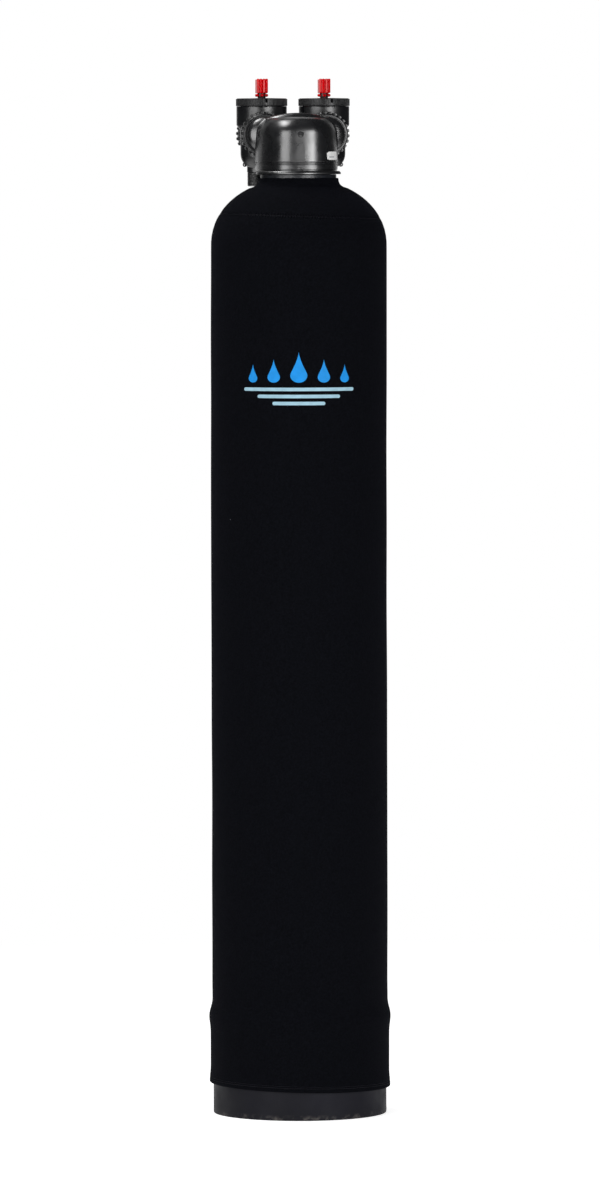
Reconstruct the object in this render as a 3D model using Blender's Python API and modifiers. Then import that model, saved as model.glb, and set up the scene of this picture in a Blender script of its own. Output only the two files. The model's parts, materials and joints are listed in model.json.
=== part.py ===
"""Whole house carbon filter: a pressure tank in a jacket, with an in/out head and a bypass valve.

The tank stands in a rubber boot. It holds a gravel bed, a carbon bed, a riser tube and two
baskets. Water enters at +X, runs down the riser, up through the carbon and out at -X.
Behind the head a bypass valve turns both streams with two red handles.

Frame: +Z up, metres, origin under the boot on the tank's axis, pipes toward +Y.
"""

import math

import bmesh
import bpy
from mathutils import Vector

NAME = "whole_house_carbon_filter"

# Fits: between pieces that rest together, and between round pieces that turn in one another
FIT_GAP = 0.0003
TURN_GAP = 0.0005
MEDIA_GAP = 0.0008

# Round pieces
TANK_SEGMENTS = 28
VALVE_SEGMENTS = 20
THREAD_SEGMENTS = 16
TUBE_SEGMENTS = 12
SEAL_SIDES = 4
DOME_STEPS = 6
WELD_DISTANCE = 0.00001
FLAT_ANGLE = math.radians(0.05)

# Boot
BOOT_FLOOR = 0.004
BOOT_WALL = 0.0024
BOOT_HEIGHT = 0.150
BOOT_RIM_HEIGHT = 0.008
BOOT_RIM_PROUD = 0.002
BOOT_FOOT_HEIGHT = 0.020
BOOT_FOOT_FLARE = 0.0008
BOOT_CHAMFER = 0.002
SEAT_RADIUS = 0.062
SEAT_WIDTH = 0.004

# Tank
TANK_RADIUS = 0.127
TANK_WALL = 0.005
TANK_STRAIGHT = 1.2
TANK_STANDOFF = 0.008
DOME_HEIGHT = 0.096
DOME_POWER = 2.1
NECK_RADIUS = 0.057
NECK_RISE = 0.0105
NECK_BORE_RADIUS = 0.0362
NECK_RING_THICKNESS = 0.0052

# Jacket
JACKET_THICKNESS = 0.005
JACKET_HEM_Z = 0.044
JACKET_HEM_LIFT = 0.0014
JACKET_SNUG_HEIGHT = 0.026
JACKET_BULGE_REACH = 0.013
JACKET_TOP_DROP = 0.0058
JACKET_COLLAR = 0.0027
JACKET_FILLET_REACH = 0.0125
JACKET_FILLET_STEPS = 4

# Media
GRAVEL_COVER = 0.004
CARBON_DEPTH = 0.877

# Riser and baskets
RISER_RADIUS = 0.01335
RISER_WALL = 0.00255
RISER_RING_THICKNESS = 0.0032
RISER_RING_LIFT = 0.008
BASKET_CLEARANCE = 0.0012
BASKET_WALL = 0.002
BASKET_HEIGHT = 0.075
BASKET_FOOT_RADIUS = 0.020
BASKET_FOOT_RISE = 0.006
BASKET_SOCKET_DEPTH = 0.015
BASKET_SLOT_WIDTH = 0.0012
BASKET_SLOT_PAIRS = 4
TOP_BASKET_HEIGHT = 0.045
TOP_BASKET_FOOT_RADIUS = 0.022
TOP_BASKET_ENGAGEMENT = 0.005
TOP_BASKET_FLANGE = 0.003

# Head
PLUG_LENGTH = 0.030
PLUG_CLEARANCE = 0.0005
HEAD_FLANGE_RADIUS = 0.0646
HEAD_FLANGE_THICKNESS = 0.0052
HEAD_BAND_HEIGHT = 0.0105
HEAD_GROOVE_HEIGHT = 0.0025
HEAD_GROOVE_DEPTH = 0.0012
HEAD_HALF_WIDTH = 0.0585
HEAD_BACK_DEPTH = 0.0535
HEAD_BACK_POWER = 7.0
HEAD_BACK_FLARE = 0.0045
HEAD_SHOULDER_HEIGHT = 0.003
HEAD_DOME_HEIGHT = 0.0665
HEAD_DOME_POWER = 7.0
HEAD_DOME_DRAFT = 0.003
HEAD_DOME_LEVELS = (0.0, 0.35, 0.6, 0.76, 0.87, 0.94, 0.98, 0.997)
HEAD_SEGMENTS = 32
HEAD_ARCH_RISE = 0.0065
HEAD_ARCH_SINK = 0.002
HEAD_ARCH_HALF_DEPTH = 0.019
HEAD_ARCH_TAPER = 0.005
HEAD_ARCH_EDGE = 0.006
HEAD_ARCH_EDGE_STEPS = 3
HEAD_ARCH_STEPS = 10
LOBE_RADIUS = 0.0263
LOBE_Y = 0.032
LOBE_END_Y = 0.054
LOBE_STEPS = 4
PORT_SPREAD = 0.0948
PORT_RISE = 0.0597
PORT_BORE_RADIUS = 0.011
PORT_BORE_START_Y = 0.014
ANNULUS_INNER_RADIUS = 0.0195
ANNULUS_OUTER_RADIUS = 0.030
ANNULUS_TOP_DROP = 0.0222
RISER_TOP_DROP = 0.018
PASSAGE_RADIUS = 0.0078

# Unions
HEAD_FACE_Y = 0.072
PIPE_FACE_Y = 0.176
THREAD_RADIUS = 0.025
THREAD_CLEARANCE = 0.0004
SOCKET_RADIUS = 0.017
SOCKET_DEPTH = 0.0145
SPIGOT_CLEARANCE = 0.0005
SPIGOT_CHAMFER = 0.001
UNION_RING_THICKNESS = 0.0035
UNION_RING_DEPTH = 0.0085
SPLIT_RING_RADIUS = 0.0215
SPLIT_RING_THICKNESS = 0.0042
SPLIT_RING_BITE = 0.0015
SPLIT_RING_GAP = 0.003
NUT_SKIRT = 0.016
NUT_SHOULDER = 0.0032
NUT_BODY_RADIUS = 0.0305
NUT_RIM_RADIUS = 0.0352
NUT_RIM_LENGTH = 0.009
NUT_TOOTH_DEPTH = 0.0022
NUT_TEETH = 24

# Bypass valve
VALVE_Y = 0.120
CHAMBER_RADIUS = 0.0376
CHAMBER_BORE_RADIUS = 0.0331
CHAMBER_TOP_RISE = 0.0444
CHAMBER_LEDGE_RISE = 0.0173
CHAMBER_CHAMFER_RISE = 0.0076
CHAMBER_CHAMFER_HEIGHT = 0.008
BOWL_RADIUS = 0.031
BOWL_BORE_RADIUS = 0.0275
BOWL_DROP = 0.0498
BOWL_FLOOR = 0.0046
BOWL_STEPS = 4
BOWL_FLOOR_STEPS = 2
BOWL_ROUNDING = 0.015
CROSSOVER_RADIUS = 0.0165
EAR_RADIUS = 0.0034
EAR_HOLE_RADIUS = 0.0014
EAR_THICKNESS = 0.003
EAR_REACH = 0.0275
EAR_RISE = 0.0046
EAR_SEGMENTS = 12
EAR_HOLE_SEGMENTS = 8

# Caps
CAP_RADIUS = 0.0384
CAP_RIB_DEPTH = 0.001
CAP_RIBS = 20
CAP_RIM_HEIGHT = 0.0109
CAP_ROOF = 0.0065
CAP_HOLLOW_RADIUS = 0.024
CAP_RING_THICKNESS = 0.0034
CAP_RING_DROP = 0.0036
CAP_SLOTS = 4
CAP_SLOT_WIDTH = 0.0033
CAP_SLOT_DEPTH = 0.006
CAP_SLOT_BITE = 0.004
INLET_CAP_TURN = math.radians(14.0)
OUTLET_CAP_TURN = math.radians(6.5)

# Rotors
ROTOR_FLANGE_THICKNESS = 0.004
ROTOR_SEAL_THICKNESS = 0.003
ROTOR_SEAL_DROP = 0.003
ROTOR_CORE_DROP = 0.0145
ROTOR_CORE_RADIUS = 0.0215
STEM_RADIUS = 0.0065
STEM_RING_THICKNESS = 0.0022
STEM_ENGAGEMENT = 0.021
DRIVE_RADIUS = 0.006
DRIVE_SIDES = 6

# Handles
HANDLE_LIFT = 0.0018
HANDLE_FLANGE_RADIUS = 0.0103
HANDLE_FLANGE_HEIGHT = 0.0048
HANDLE_FLANGE_LOBES = 8
HANDLE_FLANGE_NOTCH = 0.0014
HANDLE_GRIP_HEIGHT = 0.0224
HANDLE_RIB_WIDTH = 0.0030
HANDLE_RIB_SPACE = 0.0020
HANDLE_TAIL_Y = -0.020
HANDLE_RIB_ROOT_Y = -0.013
HANDLE_WAIST_Y = -0.005
HANDLE_WING_Y = 0.009
HANDLE_WING_TIP_Y = 0.012
HANDLE_TIP_Y = 0.024
HANDLE_WAIST = 0.008

# Elbows
ELBOW_LEG_REACH = 0.029
ELBOW_BEND_RADIUS = 0.020
ELBOW_BODY_RADIUS = 0.0178
ELBOW_LEG_RADIUS = 0.0168
ELBOW_SHOULDER_LENGTH = 0.004
ELBOW_SMOOTH_LENGTH = 0.0327
ELBOW_THREAD_LENGTH = 0.0218
ELBOW_THREAD_CHAMFER = 0.001
ELBOW_BEND_STEPS = 4

# Heights and places that follow
LOWER_EQUATOR = BOOT_FLOOR + TANK_STANDOFF + DOME_HEIGHT
UPPER_EQUATOR = LOWER_EQUATOR + TANK_STRAIGHT
NECK_TOP = UPPER_EQUATOR + DOME_HEIGHT + NECK_RISE
PORT_Z = NECK_TOP + PORT_RISE
PORT_X = PORT_SPREAD / 2
PLUG_BOTTOM = NECK_TOP - PLUG_LENGTH
GRAVEL_TOP = LOWER_EQUATOR + GRAVEL_COVER
RISER_TOP = PORT_Z - RISER_TOP_DROP
RISER_SOCKET_RADIUS = RISER_RADIUS + FIT_GAP
BASKET_RADIUS = NECK_BORE_RADIUS - BASKET_CLEARANCE
SPIGOT_RADIUS = SOCKET_RADIUS - SPIGOT_CLEARANCE
NUT_SEAT = SPLIT_RING_THICKNESS + 2 * FIT_GAP
NUT_END = NUT_SEAT + NUT_SHOULDER
CHAMBER_TOP = PORT_Z + CHAMBER_TOP_RISE
CHAMBER_LEDGE = PORT_Z + CHAMBER_LEDGE_RISE
BOWL_BOTTOM = PORT_Z - BOWL_DROP
CAP_BOTTOM = CHAMBER_TOP + FIT_GAP
CAP_TOP = CAP_BOTTOM + CAP_RIM_HEIGHT
CAP_RING_Z = CHAMBER_TOP - CAP_RING_DROP
ROTOR_TOP = CHAMBER_LEDGE + FIT_GAP + ROTOR_FLANGE_THICKNESS
ROTOR_SEAL_Z = CHAMBER_LEDGE - ROTOR_SEAL_DROP
STEM_RING_Z = CAP_TOP - CAP_ROOF / 2
HANDLE_BOTTOM = CAP_TOP + HANDLE_LIFT
STEM_TOP = HANDLE_BOTTOM + STEM_ENGAGEMENT
HALF_TURN = math.pi

PARTS = bpy.data.collections.new(NAME)
HELPERS = bpy.data.collections.new("helpers")


# Scene and materials

def clear_scene():
    """Remove every object of the scene and link the two collections."""
    for thing in list(bpy.data.objects):
        bpy.data.objects.remove(thing, do_unlink=True)
    bpy.context.scene.collection.children.link(PARTS)
    bpy.context.scene.collection.children.link(HELPERS)


def material(name, colour, roughness, metallic=0.0):
    """A plain Principled material."""
    look = bpy.data.materials.new(name)
    look.use_nodes = True
    shader = look.node_tree.nodes["Principled BSDF"]
    shader.inputs["Base Color"].default_value = (*colour, 1.0)
    shader.inputs["Roughness"].default_value = roughness
    shader.inputs["Metallic"].default_value = metallic
    return look


def make_materials():
    """Every material of the filter by name."""
    return {
        "boot": material("boot rubber", (0.012, 0.012, 0.014), 0.55),
        "tank": material("wrapped fibreglass", (0.02, 0.02, 0.024), 0.35),
        "jacket": material("neoprene", (0.004, 0.005, 0.007), 0.9),
        "gravel": material("gravel", (0.35, 0.31, 0.26), 0.95),
        "carbon": material("carbon granules", (0.01, 0.01, 0.01), 0.9),
        "pipe": material("white pipe", (0.75, 0.75, 0.73), 0.4),
        "basket": material("grey basket", (0.2, 0.2, 0.21), 0.5),
        "head": material("black glass-filled plastic", (0.012, 0.012, 0.013), 0.38),
        "seal": material("black seal", (0.006, 0.006, 0.006), 0.6),
        "handle": material("red plastic", (0.62, 0.01, 0.012), 0.4),
    }


# Shapes

def register(name, data, collection=HELPERS):
    """A new object in one of the two collections."""
    piece = bpy.data.objects.new(name, data)
    collection.objects.link(piece)
    return piece


def clockwise(profile):
    """The profile in the order that runs down its outer side."""
    pairs = zip(profile, profile[1:] + profile[:1])
    area = sum(a[0] * b[1] - b[0] * a[1] for a, b in pairs)
    return profile if area < 0 else profile[::-1]


def turned(name, profile, segments):
    """A solid of revolution round local Z. The profile is a ring, or ends twice on the axis."""
    points = clockwise(profile)
    edges = [(index, index + 1) for index in range(len(points) - 1)]
    if min(radius for radius, _ in points) > 0:
        edges.append((len(points) - 1, 0))
    mesh = bpy.data.meshes.new(name)
    mesh.from_pydata([(radius, 0.0, height) for radius, height in points], edges, [])
    piece = register(name, mesh)
    screw = piece.modifiers.new("Turn", "SCREW")
    screw.steps = segments
    screw.render_steps = segments
    screw.use_merge_vertices = True
    screw.merge_threshold = WELD_DISTANCE
    return piece


def rod(name, start, end, radius, segments=TUBE_SEGMENTS):
    """A solid cylinder between two points."""
    start = Vector(start)
    way = Vector(end) - start
    piece = turned(name, [(0.0, 0.0), (radius, 0.0), (radius, way.length), (0.0, way.length)], segments)
    piece.location = start
    piece.rotation_euler = way.to_track_quat("Z", "X").to_euler()
    return piece


def box(name, size, centre, turn=0.0):
    """A block turned about Z round the world's axis after it is placed."""
    bpy.ops.mesh.primitive_cube_add(size=1.0)
    piece = bpy.context.active_object
    piece.name = name
    for collection in list(piece.users_collection):
        collection.objects.unlink(piece)
    HELPERS.objects.link(piece)
    piece.scale = size
    piece.rotation_euler.z = turn
    place = Vector(centre)
    place.rotate(piece.rotation_euler)
    piece.location = place
    return piece


def toothed(radius, depth, count):
    """A round outline with square teeth, as (x, y) points."""
    points = []
    pitch = 2 * math.pi / count
    for tooth in range(count):
        for share, reach in ((-0.30, -depth), (-0.20, 0.0), (0.20, 0.0), (0.30, -depth)):
            angle = (tooth + share) * pitch
            points.append(((radius + reach) * math.cos(angle), (radius + reach) * math.sin(angle)))
    return points


def plate(name, outline, bottom, thickness):
    """A flat outline with a thickness along Z, as a mesh object."""
    curve = bpy.data.curves.new(name, "CURVE")
    curve.dimensions = "2D"
    curve.fill_mode = "BOTH"
    curve.extrude = thickness / 2
    spline = curve.splines.new("POLY")
    spline.points.add(len(outline) - 1)
    for point, (x, y) in zip(spline.points, outline):
        point.co = (x, y, 0.0, 1.0)
    spline.use_cyclic_u = True
    carrier = register(name + " outline", curve)
    mesh = plain_mesh(carrier)
    bpy.data.objects.remove(carrier)
    bpy.data.curves.remove(curve)
    bm = bmesh.new()
    bm.from_mesh(mesh)
    bmesh.ops.remove_doubles(bm, verts=bm.verts, dist=WELD_DISTANCE)
    bmesh.ops.translate(bm, verts=bm.verts, vec=(0.0, 0.0, bottom + thickness / 2))
    bm.to_mesh(mesh)
    bm.free()
    return register(name, mesh)


def loft(name, rings, hollow=False):
    """A skin over rings of as many points each: capped at both ends, or closed on itself."""
    size = len(rings[0])
    corners = [point for ring in rings for point in ring]
    faces = []
    pairs = len(rings) if hollow else len(rings) - 1
    for level in range(pairs):
        low = level * size
        high = (level + 1) % len(rings) * size
        for index in range(size):
            after = (index + 1) % size
            faces.append((low + index, low + after, high + after, high + index))
    if not hollow:
        faces.append(tuple(range(size))[::-1])
        faces.append(tuple(range(len(corners) - size, len(corners))))
    mesh = bpy.data.meshes.new(name)
    mesh.from_pydata(corners, [], faces)
    bm = bmesh.new()
    bm.from_mesh(mesh)
    bmesh.ops.recalc_face_normals(bm, faces=bm.faces)
    bm.to_mesh(mesh)
    bm.free()
    return register(name, mesh)


def plain_mesh(piece):
    """The object's shape with its modifiers worked out."""
    depsgraph = bpy.context.evaluated_depsgraph_get()
    return bpy.data.meshes.new_from_object(piece.evaluated_get(depsgraph))


def welded(mesh):
    """The mesh with coincident corners joined and flat faces made whole."""
    bm = bmesh.new()
    bm.from_mesh(mesh)
    bmesh.ops.remove_doubles(bm, verts=bm.verts, dist=WELD_DISTANCE)
    bmesh.ops.dissolve_degenerate(bm, edges=bm.edges, dist=WELD_DISTANCE)
    bmesh.ops.dissolve_limit(bm, verts=bm.verts, edges=bm.edges, angle_limit=FLAT_ANGLE)
    bm.to_mesh(mesh)
    bm.free()
    return mesh


def combined(base, joined=(), cut=()):
    """The base with solids joined to it and others cut away, as one plain mesh."""
    for operation, tools in (("UNION", joined), ("DIFFERENCE", cut)):
        for tool in tools:
            step = base.modifiers.new(tool.name, "BOOLEAN")
            step.operation = operation
            step.object = tool
            step.solver = "EXACT"
            base.data = welded(plain_mesh(base))
            base.modifiers.clear()
            bpy.data.objects.remove(tool)
    return base


def finished(name, shape, look, location=(0.0, 0.0, 0.0), rotation=(0.0, 0.0, 0.0)):
    """A part of the filter, made from a helper shape that it uses up."""
    mesh = plain_mesh(shape)
    bpy.data.objects.remove(shape)
    return placed(name, mesh, look, location, rotation)


def placed(name, mesh, look, location=(0.0, 0.0, 0.0), rotation=(0.0, 0.0, 0.0)):
    """A part of the filter that shows a mesh, which others may share."""
    mesh.shade_smooth()
    mesh.set_sharp_from_angle(angle=math.radians(35.0))
    if not mesh.materials:
        mesh.materials.append(look)
    piece = register(name, mesh, PARTS)
    piece.location = location
    piece.rotation_euler = rotation
    return piece


def seal(major, thickness, height, segments):
    """A turned ring of round section, whose seat has its own segments."""
    section = []
    for side in range(SEAL_SIDES):
        angle = 2 * math.pi * side / SEAL_SIDES
        section.append((major + thickness / 2 * math.cos(angle), height + thickness / 2 * math.sin(angle)))
    return turned("seal", section, segments)


def bent(start, corner, end, steps):
    """Points of a smooth curve from start to end that leans into a corner."""
    points = []
    for step in range(steps + 1):
        share = step / steps
        rest = 1 - share
        points.append(tuple(
            rest * rest * a + 2 * rest * share * b + share * share * c
            for a, b, c in zip(start, corner, end)
        ))
    return points


# Tank's curve

def dome_line(offset):
    """The dome from its equator to its pole as (radius, height), moved outward by an offset."""
    points = []
    for step in range(DOME_STEPS + 1):
        turn = math.pi / 2 * step / DOME_STEPS
        across = math.cos(turn) if step < DOME_STEPS else 0.0
        radius = TANK_RADIUS * across ** (2 / DOME_POWER)
        height = DOME_HEIGHT * math.sin(turn) ** (2 / DOME_POWER)
        normal = Vector((
            (radius / TANK_RADIUS) ** (DOME_POWER - 1) / TANK_RADIUS,
            (height / DOME_HEIGHT) ** (DOME_POWER - 1) / DOME_HEIGHT,
        )).normalized()
        points.append((radius + offset * normal.x, height + offset * normal.y))
    return points


def height_at(line, radius):
    """The height of a falling line at a radius."""
    for outer, inner in zip(line, line[1:]):
        if inner[0] <= radius <= outer[0]:
            share = (outer[0] - radius) / (outer[0] - inner[0])
            return outer[1] + share * (inner[1] - outer[1])
    return line[-1][1]


def dome_to(offset, radius):
    """The dome's line outside a radius, ending on it."""
    line = dome_line(offset)
    outside = [point for point in line if point[0] > radius + FIT_GAP / 2]
    return outside + [(radius, height_at(line, radius))]


def lower(line):
    """A dome's line hung below the lower equator, from the middle outward."""
    return [(radius, LOWER_EQUATOR - height) for radius, height in reversed(line)]


def upper(line):
    """A dome's line set on the upper equator, from the outside inward."""
    return [(radius, UPPER_EQUATOR + height) for radius, height in line]


# Boot, tank and jacket

def make_boot(looks):
    """The rubber boot, with a ring inside that carries the tank's dome."""
    inner = TANK_RADIUS + FIT_GAP
    outer = inner + BOOT_WALL
    foot = outer + BOOT_FOOT_FLARE
    rim = outer + BOOT_RIM_PROUD
    seat_line = dome_line(FIT_GAP)
    seat_in = SEAT_RADIUS - SEAT_WIDTH / 2
    seat_out = SEAT_RADIUS + SEAT_WIDTH / 2
    profile = [
        (0.0, 0.0),
        (foot - BOOT_CHAMFER, 0.0),
        (foot, BOOT_CHAMFER),
        (foot, BOOT_FOOT_HEIGHT - BOOT_CHAMFER),
        (outer, BOOT_FOOT_HEIGHT),
        (outer, BOOT_HEIGHT - BOOT_RIM_HEIGHT - BOOT_RIM_PROUD),
        (rim, BOOT_HEIGHT - BOOT_RIM_HEIGHT),
        (rim, BOOT_HEIGHT),
        (inner, BOOT_HEIGHT),
        (inner, BOOT_FLOOR),
        (seat_out, BOOT_FLOOR),
        (seat_out, LOWER_EQUATOR - height_at(seat_line, seat_out)),
        (seat_in, LOWER_EQUATOR - height_at(seat_line, seat_in)),
        (seat_in, BOOT_FLOOR),
        (0.0, BOOT_FLOOR),
    ]
    finished("tank_base_boot", turned("boot", profile, TANK_SEGMENTS), looks["boot"])


def make_tank(looks):
    """The pressure tank, open at its neck, where a recess takes the head's seal."""
    recess = NECK_BORE_RADIUS + NECK_RING_THICKNESS + FIT_GAP
    recess_floor = NECK_TOP - NECK_RING_THICKNESS - FIT_GAP
    profile = lower(dome_line(0.0)) + upper(dome_to(0.0, NECK_RADIUS))
    profile += [
        (NECK_RADIUS, NECK_TOP),
        (recess, NECK_TOP),
        (recess, recess_floor),
        (NECK_BORE_RADIUS, recess_floor),
    ]
    profile += reversed(upper(dome_to(-TANK_WALL, NECK_BORE_RADIUS)))
    profile += reversed(lower(dome_line(-TANK_WALL)))
    finished("pressure_tank", turned("tank", profile, TANK_SEGMENTS), looks["tank"])


def jacket_inner_line():
    """The jacket's inside from its hem over the boot's rim to the tank's wall."""
    snug = TANK_RADIUS + BOOT_WALL + 2 * FIT_GAP
    over_rim = snug + BOOT_RIM_PROUD
    rim_start = BOOT_HEIGHT - BOOT_RIM_HEIGHT - BOOT_RIM_PROUD
    return [
        (snug + JACKET_HEM_LIFT, JACKET_HEM_Z),
        (snug, JACKET_HEM_Z + JACKET_SNUG_HEIGHT),
        (snug, rim_start - JACKET_BULGE_REACH / 2),
        (over_rim, rim_start),
        (over_rim, BOOT_HEIGHT + FIT_GAP),
        (TANK_RADIUS + FIT_GAP, BOOT_HEIGHT + JACKET_BULGE_REACH),
    ]


def make_jacket(looks):
    """The neoprene jacket, which hugs the boot, the tank and the neck."""
    top = NECK_TOP - JACKET_TOP_DROP
    inner_collar = NECK_RADIUS + FIT_GAP
    collar = inner_collar + JACKET_COLLAR
    inside = jacket_inner_line()
    outside = [(radius + JACKET_THICKNESS, height) for radius, height in inside]
    outside += upper(dome_to(FIT_GAP + JACKET_THICKNESS, collar + JACKET_FILLET_REACH))
    start = outside.pop()
    outside += bent(start, (collar, start[1]), (collar, top), JACKET_FILLET_STEPS)
    inside += upper(dome_to(FIT_GAP, inner_collar))
    profile = inside + [(inner_collar, top)] + outside[::-1]
    finished("insulating_jacket", turned("jacket", profile, TANK_SEGMENTS), looks["jacket"])


# Media, riser and baskets

def bottom_basket_floor():
    """Height of the bottom basket's foot, just over the tank's inner dome."""
    return LOWER_EQUATOR - height_at(dome_line(-TANK_WALL - FIT_GAP), BASKET_FOOT_RADIUS)


def make_media(looks):
    """Gravel round the bottom basket, with the carbon over it round the riser."""
    offset = -TANK_WALL - MEDIA_GAP
    wall = TANK_RADIUS + offset
    basket_hole = BASKET_RADIUS + MEDIA_GAP
    riser_hole = RISER_RADIUS + MEDIA_GAP
    basket_roof = bottom_basket_floor() + BASKET_HEIGHT + MEDIA_GAP
    gravel = lower(dome_to(offset, basket_hole))
    gravel += [
        (wall, GRAVEL_TOP),
        (riser_hole, GRAVEL_TOP),
        (riser_hole, basket_roof),
        (basket_hole, basket_roof),
    ]
    finished("gravel_bed", turned("gravel", gravel, TANK_SEGMENTS), looks["gravel"])
    floor = GRAVEL_TOP + FIT_GAP
    carbon = [
        (riser_hole, floor),
        (wall, floor),
        (wall, floor + CARBON_DEPTH),
        (riser_hole, floor + CARBON_DEPTH),
    ]
    finished("carbon_bed", turned("carbon", carbon, TANK_SEGMENTS), looks["carbon"])


def make_riser(looks):
    """The riser tube from the bottom basket's socket up into the head."""
    bottom = bottom_basket_floor() + BASKET_HEIGHT - BASKET_SOCKET_DEPTH + FIT_GAP
    bore = RISER_RADIUS - RISER_WALL
    profile = [(bore, bottom), (RISER_RADIUS, bottom), (RISER_RADIUS, RISER_TOP), (bore, RISER_TOP)]
    finished("riser_tube", turned("riser", profile, TUBE_SEGMENTS), looks["pipe"])
    major = RISER_SOCKET_RADIUS + RISER_RING_THICKNESS / 2
    ring = seal(major, RISER_RING_THICKNESS, PLUG_BOTTOM + RISER_RING_LIFT, TUBE_SEGMENTS)
    finished("riser_o_ring", ring, looks["seal"])


def slots(reach, bottom, top):
    """Blades that each slit a basket's wall on both sides."""
    blades = []
    for pair in range(BASKET_SLOT_PAIRS):
        turn = HALF_TURN * (pair + 0.5) / BASKET_SLOT_PAIRS
        size = (2 * reach, BASKET_SLOT_WIDTH, top - bottom)
        blades.append(box("slot", size, (0.0, 0.0, (bottom + top) / 2), turn))
    return blades


def make_bottom_basket(looks):
    """The slotted basket on the tank's floor, with a socket for the riser."""
    floor = bottom_basket_floor()
    top = floor + BASKET_HEIGHT
    socket = RISER_SOCKET_RADIUS
    collar = socket + BASKET_WALL
    ledge = top - BASKET_SOCKET_DEPTH
    roof = ledge - BASKET_WALL
    bore = RISER_RADIUS - RISER_WALL
    inner = BASKET_RADIUS - BASKET_WALL
    profile = [
        (0.0, floor),
        (BASKET_FOOT_RADIUS, floor),
        (BASKET_RADIUS, floor + BASKET_FOOT_RISE),
        (BASKET_RADIUS, ledge),
        (collar, ledge + BASKET_SOCKET_DEPTH / 3),
        (collar, top),
        (socket, top),
        (socket, ledge),
        (bore, ledge),
        (bore, roof),
        (inner, roof),
        (inner, floor + BASKET_FOOT_RISE + BASKET_WALL),
        (BASKET_FOOT_RADIUS - BASKET_WALL, floor + BASKET_WALL),
        (0.0, floor + BASKET_WALL),
    ]
    shape = turned("bottom basket", profile, TUBE_SEGMENTS)
    slot_foot = floor + BASKET_FOOT_RISE + 2 * BASKET_WALL
    shape = combined(shape, cut=slots(BASKET_RADIUS + BASKET_WALL, slot_foot, roof - BASKET_WALL))
    finished("bottom_basket", shape, looks["basket"])


def make_top_basket(looks):
    """The slotted basket that hangs from the head's ring channel and keeps the carbon in."""
    seat = PLUG_BOTTOM - FIT_GAP
    bottom = seat - TOP_BASKET_HEIGHT
    hole = RISER_SOCKET_RADIUS
    collar = ANNULUS_OUTER_RADIUS - FIT_GAP
    flange = collar + TOP_BASKET_FLANGE
    flange_bottom = seat - BASKET_WALL
    profile = [
        (hole, bottom),
        (TOP_BASKET_FOOT_RADIUS, bottom),
        (collar, flange_bottom),
        (flange, flange_bottom),
        (flange, seat),
        (collar, seat),
        (collar, PLUG_BOTTOM + TOP_BASKET_ENGAGEMENT),
        (collar - BASKET_WALL, PLUG_BOTTOM + TOP_BASKET_ENGAGEMENT),
        (collar - BASKET_WALL, flange_bottom),
        (TOP_BASKET_FOOT_RADIUS - BASKET_WALL, bottom + BASKET_WALL),
        (hole, bottom + BASKET_WALL),
    ]
    shape = turned("top basket", profile, TUBE_SEGMENTS)
    blades = slots(flange, bottom + 2 * BASKET_WALL, flange_bottom - BASKET_WALL)
    finished("top_basket", combined(shape, cut=blades), looks["basket"])


# Head

def head_outline(half_width, height):
    """One level of the head: a half circle in front and a squarer half behind."""
    points = []
    for index in range(HEAD_SEGMENTS):
        angle = 2 * math.pi * index / HEAD_SEGMENTS
        x = math.cos(angle)
        y = math.sin(angle)
        if y > 0:
            power = 2 / HEAD_BACK_POWER
            x = math.copysign(abs(x) ** power, x)
            y = y ** power
            x *= 1 + y * HEAD_BACK_FLARE / HEAD_HALF_WIDTH
            y *= HEAD_BACK_DEPTH / HEAD_HALF_WIDTH
        points.append((half_width * x, half_width * y, height))
    return points


def make_head_body():
    """The head's band, groove and dome as one loft."""
    foot = NECK_TOP + FIT_GAP + HEAD_FLANGE_THICKNESS / 2
    band_top = NECK_TOP + FIT_GAP + HEAD_FLANGE_THICKNESS + HEAD_BAND_HEIGHT
    groove_top = band_top + HEAD_GROOVE_HEIGHT
    dome_start = groove_top + HEAD_SHOULDER_HEIGHT
    band = HEAD_HALF_WIDTH - HEAD_GROOVE_DEPTH / 2
    groove = band - HEAD_GROOVE_DEPTH
    rings = [
        head_outline(band, foot),
        head_outline(band, band_top),
        head_outline(groove, band_top + HEAD_GROOVE_DEPTH / 3),
        head_outline(groove, groove_top - HEAD_GROOVE_DEPTH / 3),
        head_outline(HEAD_HALF_WIDTH, groove_top),
    ]
    for share in HEAD_DOME_LEVELS:
        width = HEAD_HALF_WIDTH - share * HEAD_DOME_DRAFT
        width *= (1 - share ** HEAD_DOME_POWER) ** (1 / HEAD_DOME_POWER)
        rings.append(head_outline(width, dome_start + share * HEAD_DOME_HEIGHT))
    return loft("head body", rings)


def make_head_arch():
    """The saddle behind the dome that links the tops of both lobes."""
    rings = []
    for step in range(HEAD_ARCH_STEPS + 1):
        share = 2 * step / HEAD_ARCH_STEPS - 1
        top = PORT_Z + LOBE_RADIUS + HEAD_ARCH_RISE - (HEAD_ARCH_RISE + HEAD_ARCH_SINK) * share ** 2
        half_depth = HEAD_ARCH_HALF_DEPTH - HEAD_ARCH_TAPER * share ** 2
        section = [(-half_depth, PORT_Z), (half_depth, PORT_Z)]
        for side in (1, -1):
            for edge_step in range(HEAD_ARCH_EDGE_STEPS + 1):
                angle = HALF_TURN / 2 * edge_step / HEAD_ARCH_EDGE_STEPS
                if side < 0:
                    angle = HALF_TURN / 2 - angle
                y = side * (half_depth - HEAD_ARCH_EDGE * (1 - math.cos(angle)))
                section.append((y, top - HEAD_ARCH_EDGE * (1 - math.sin(angle))))
        rings.append([(share * PORT_X, LOBE_Y + y, z) for y, z in section])
    return loft("head arch", rings)


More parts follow.
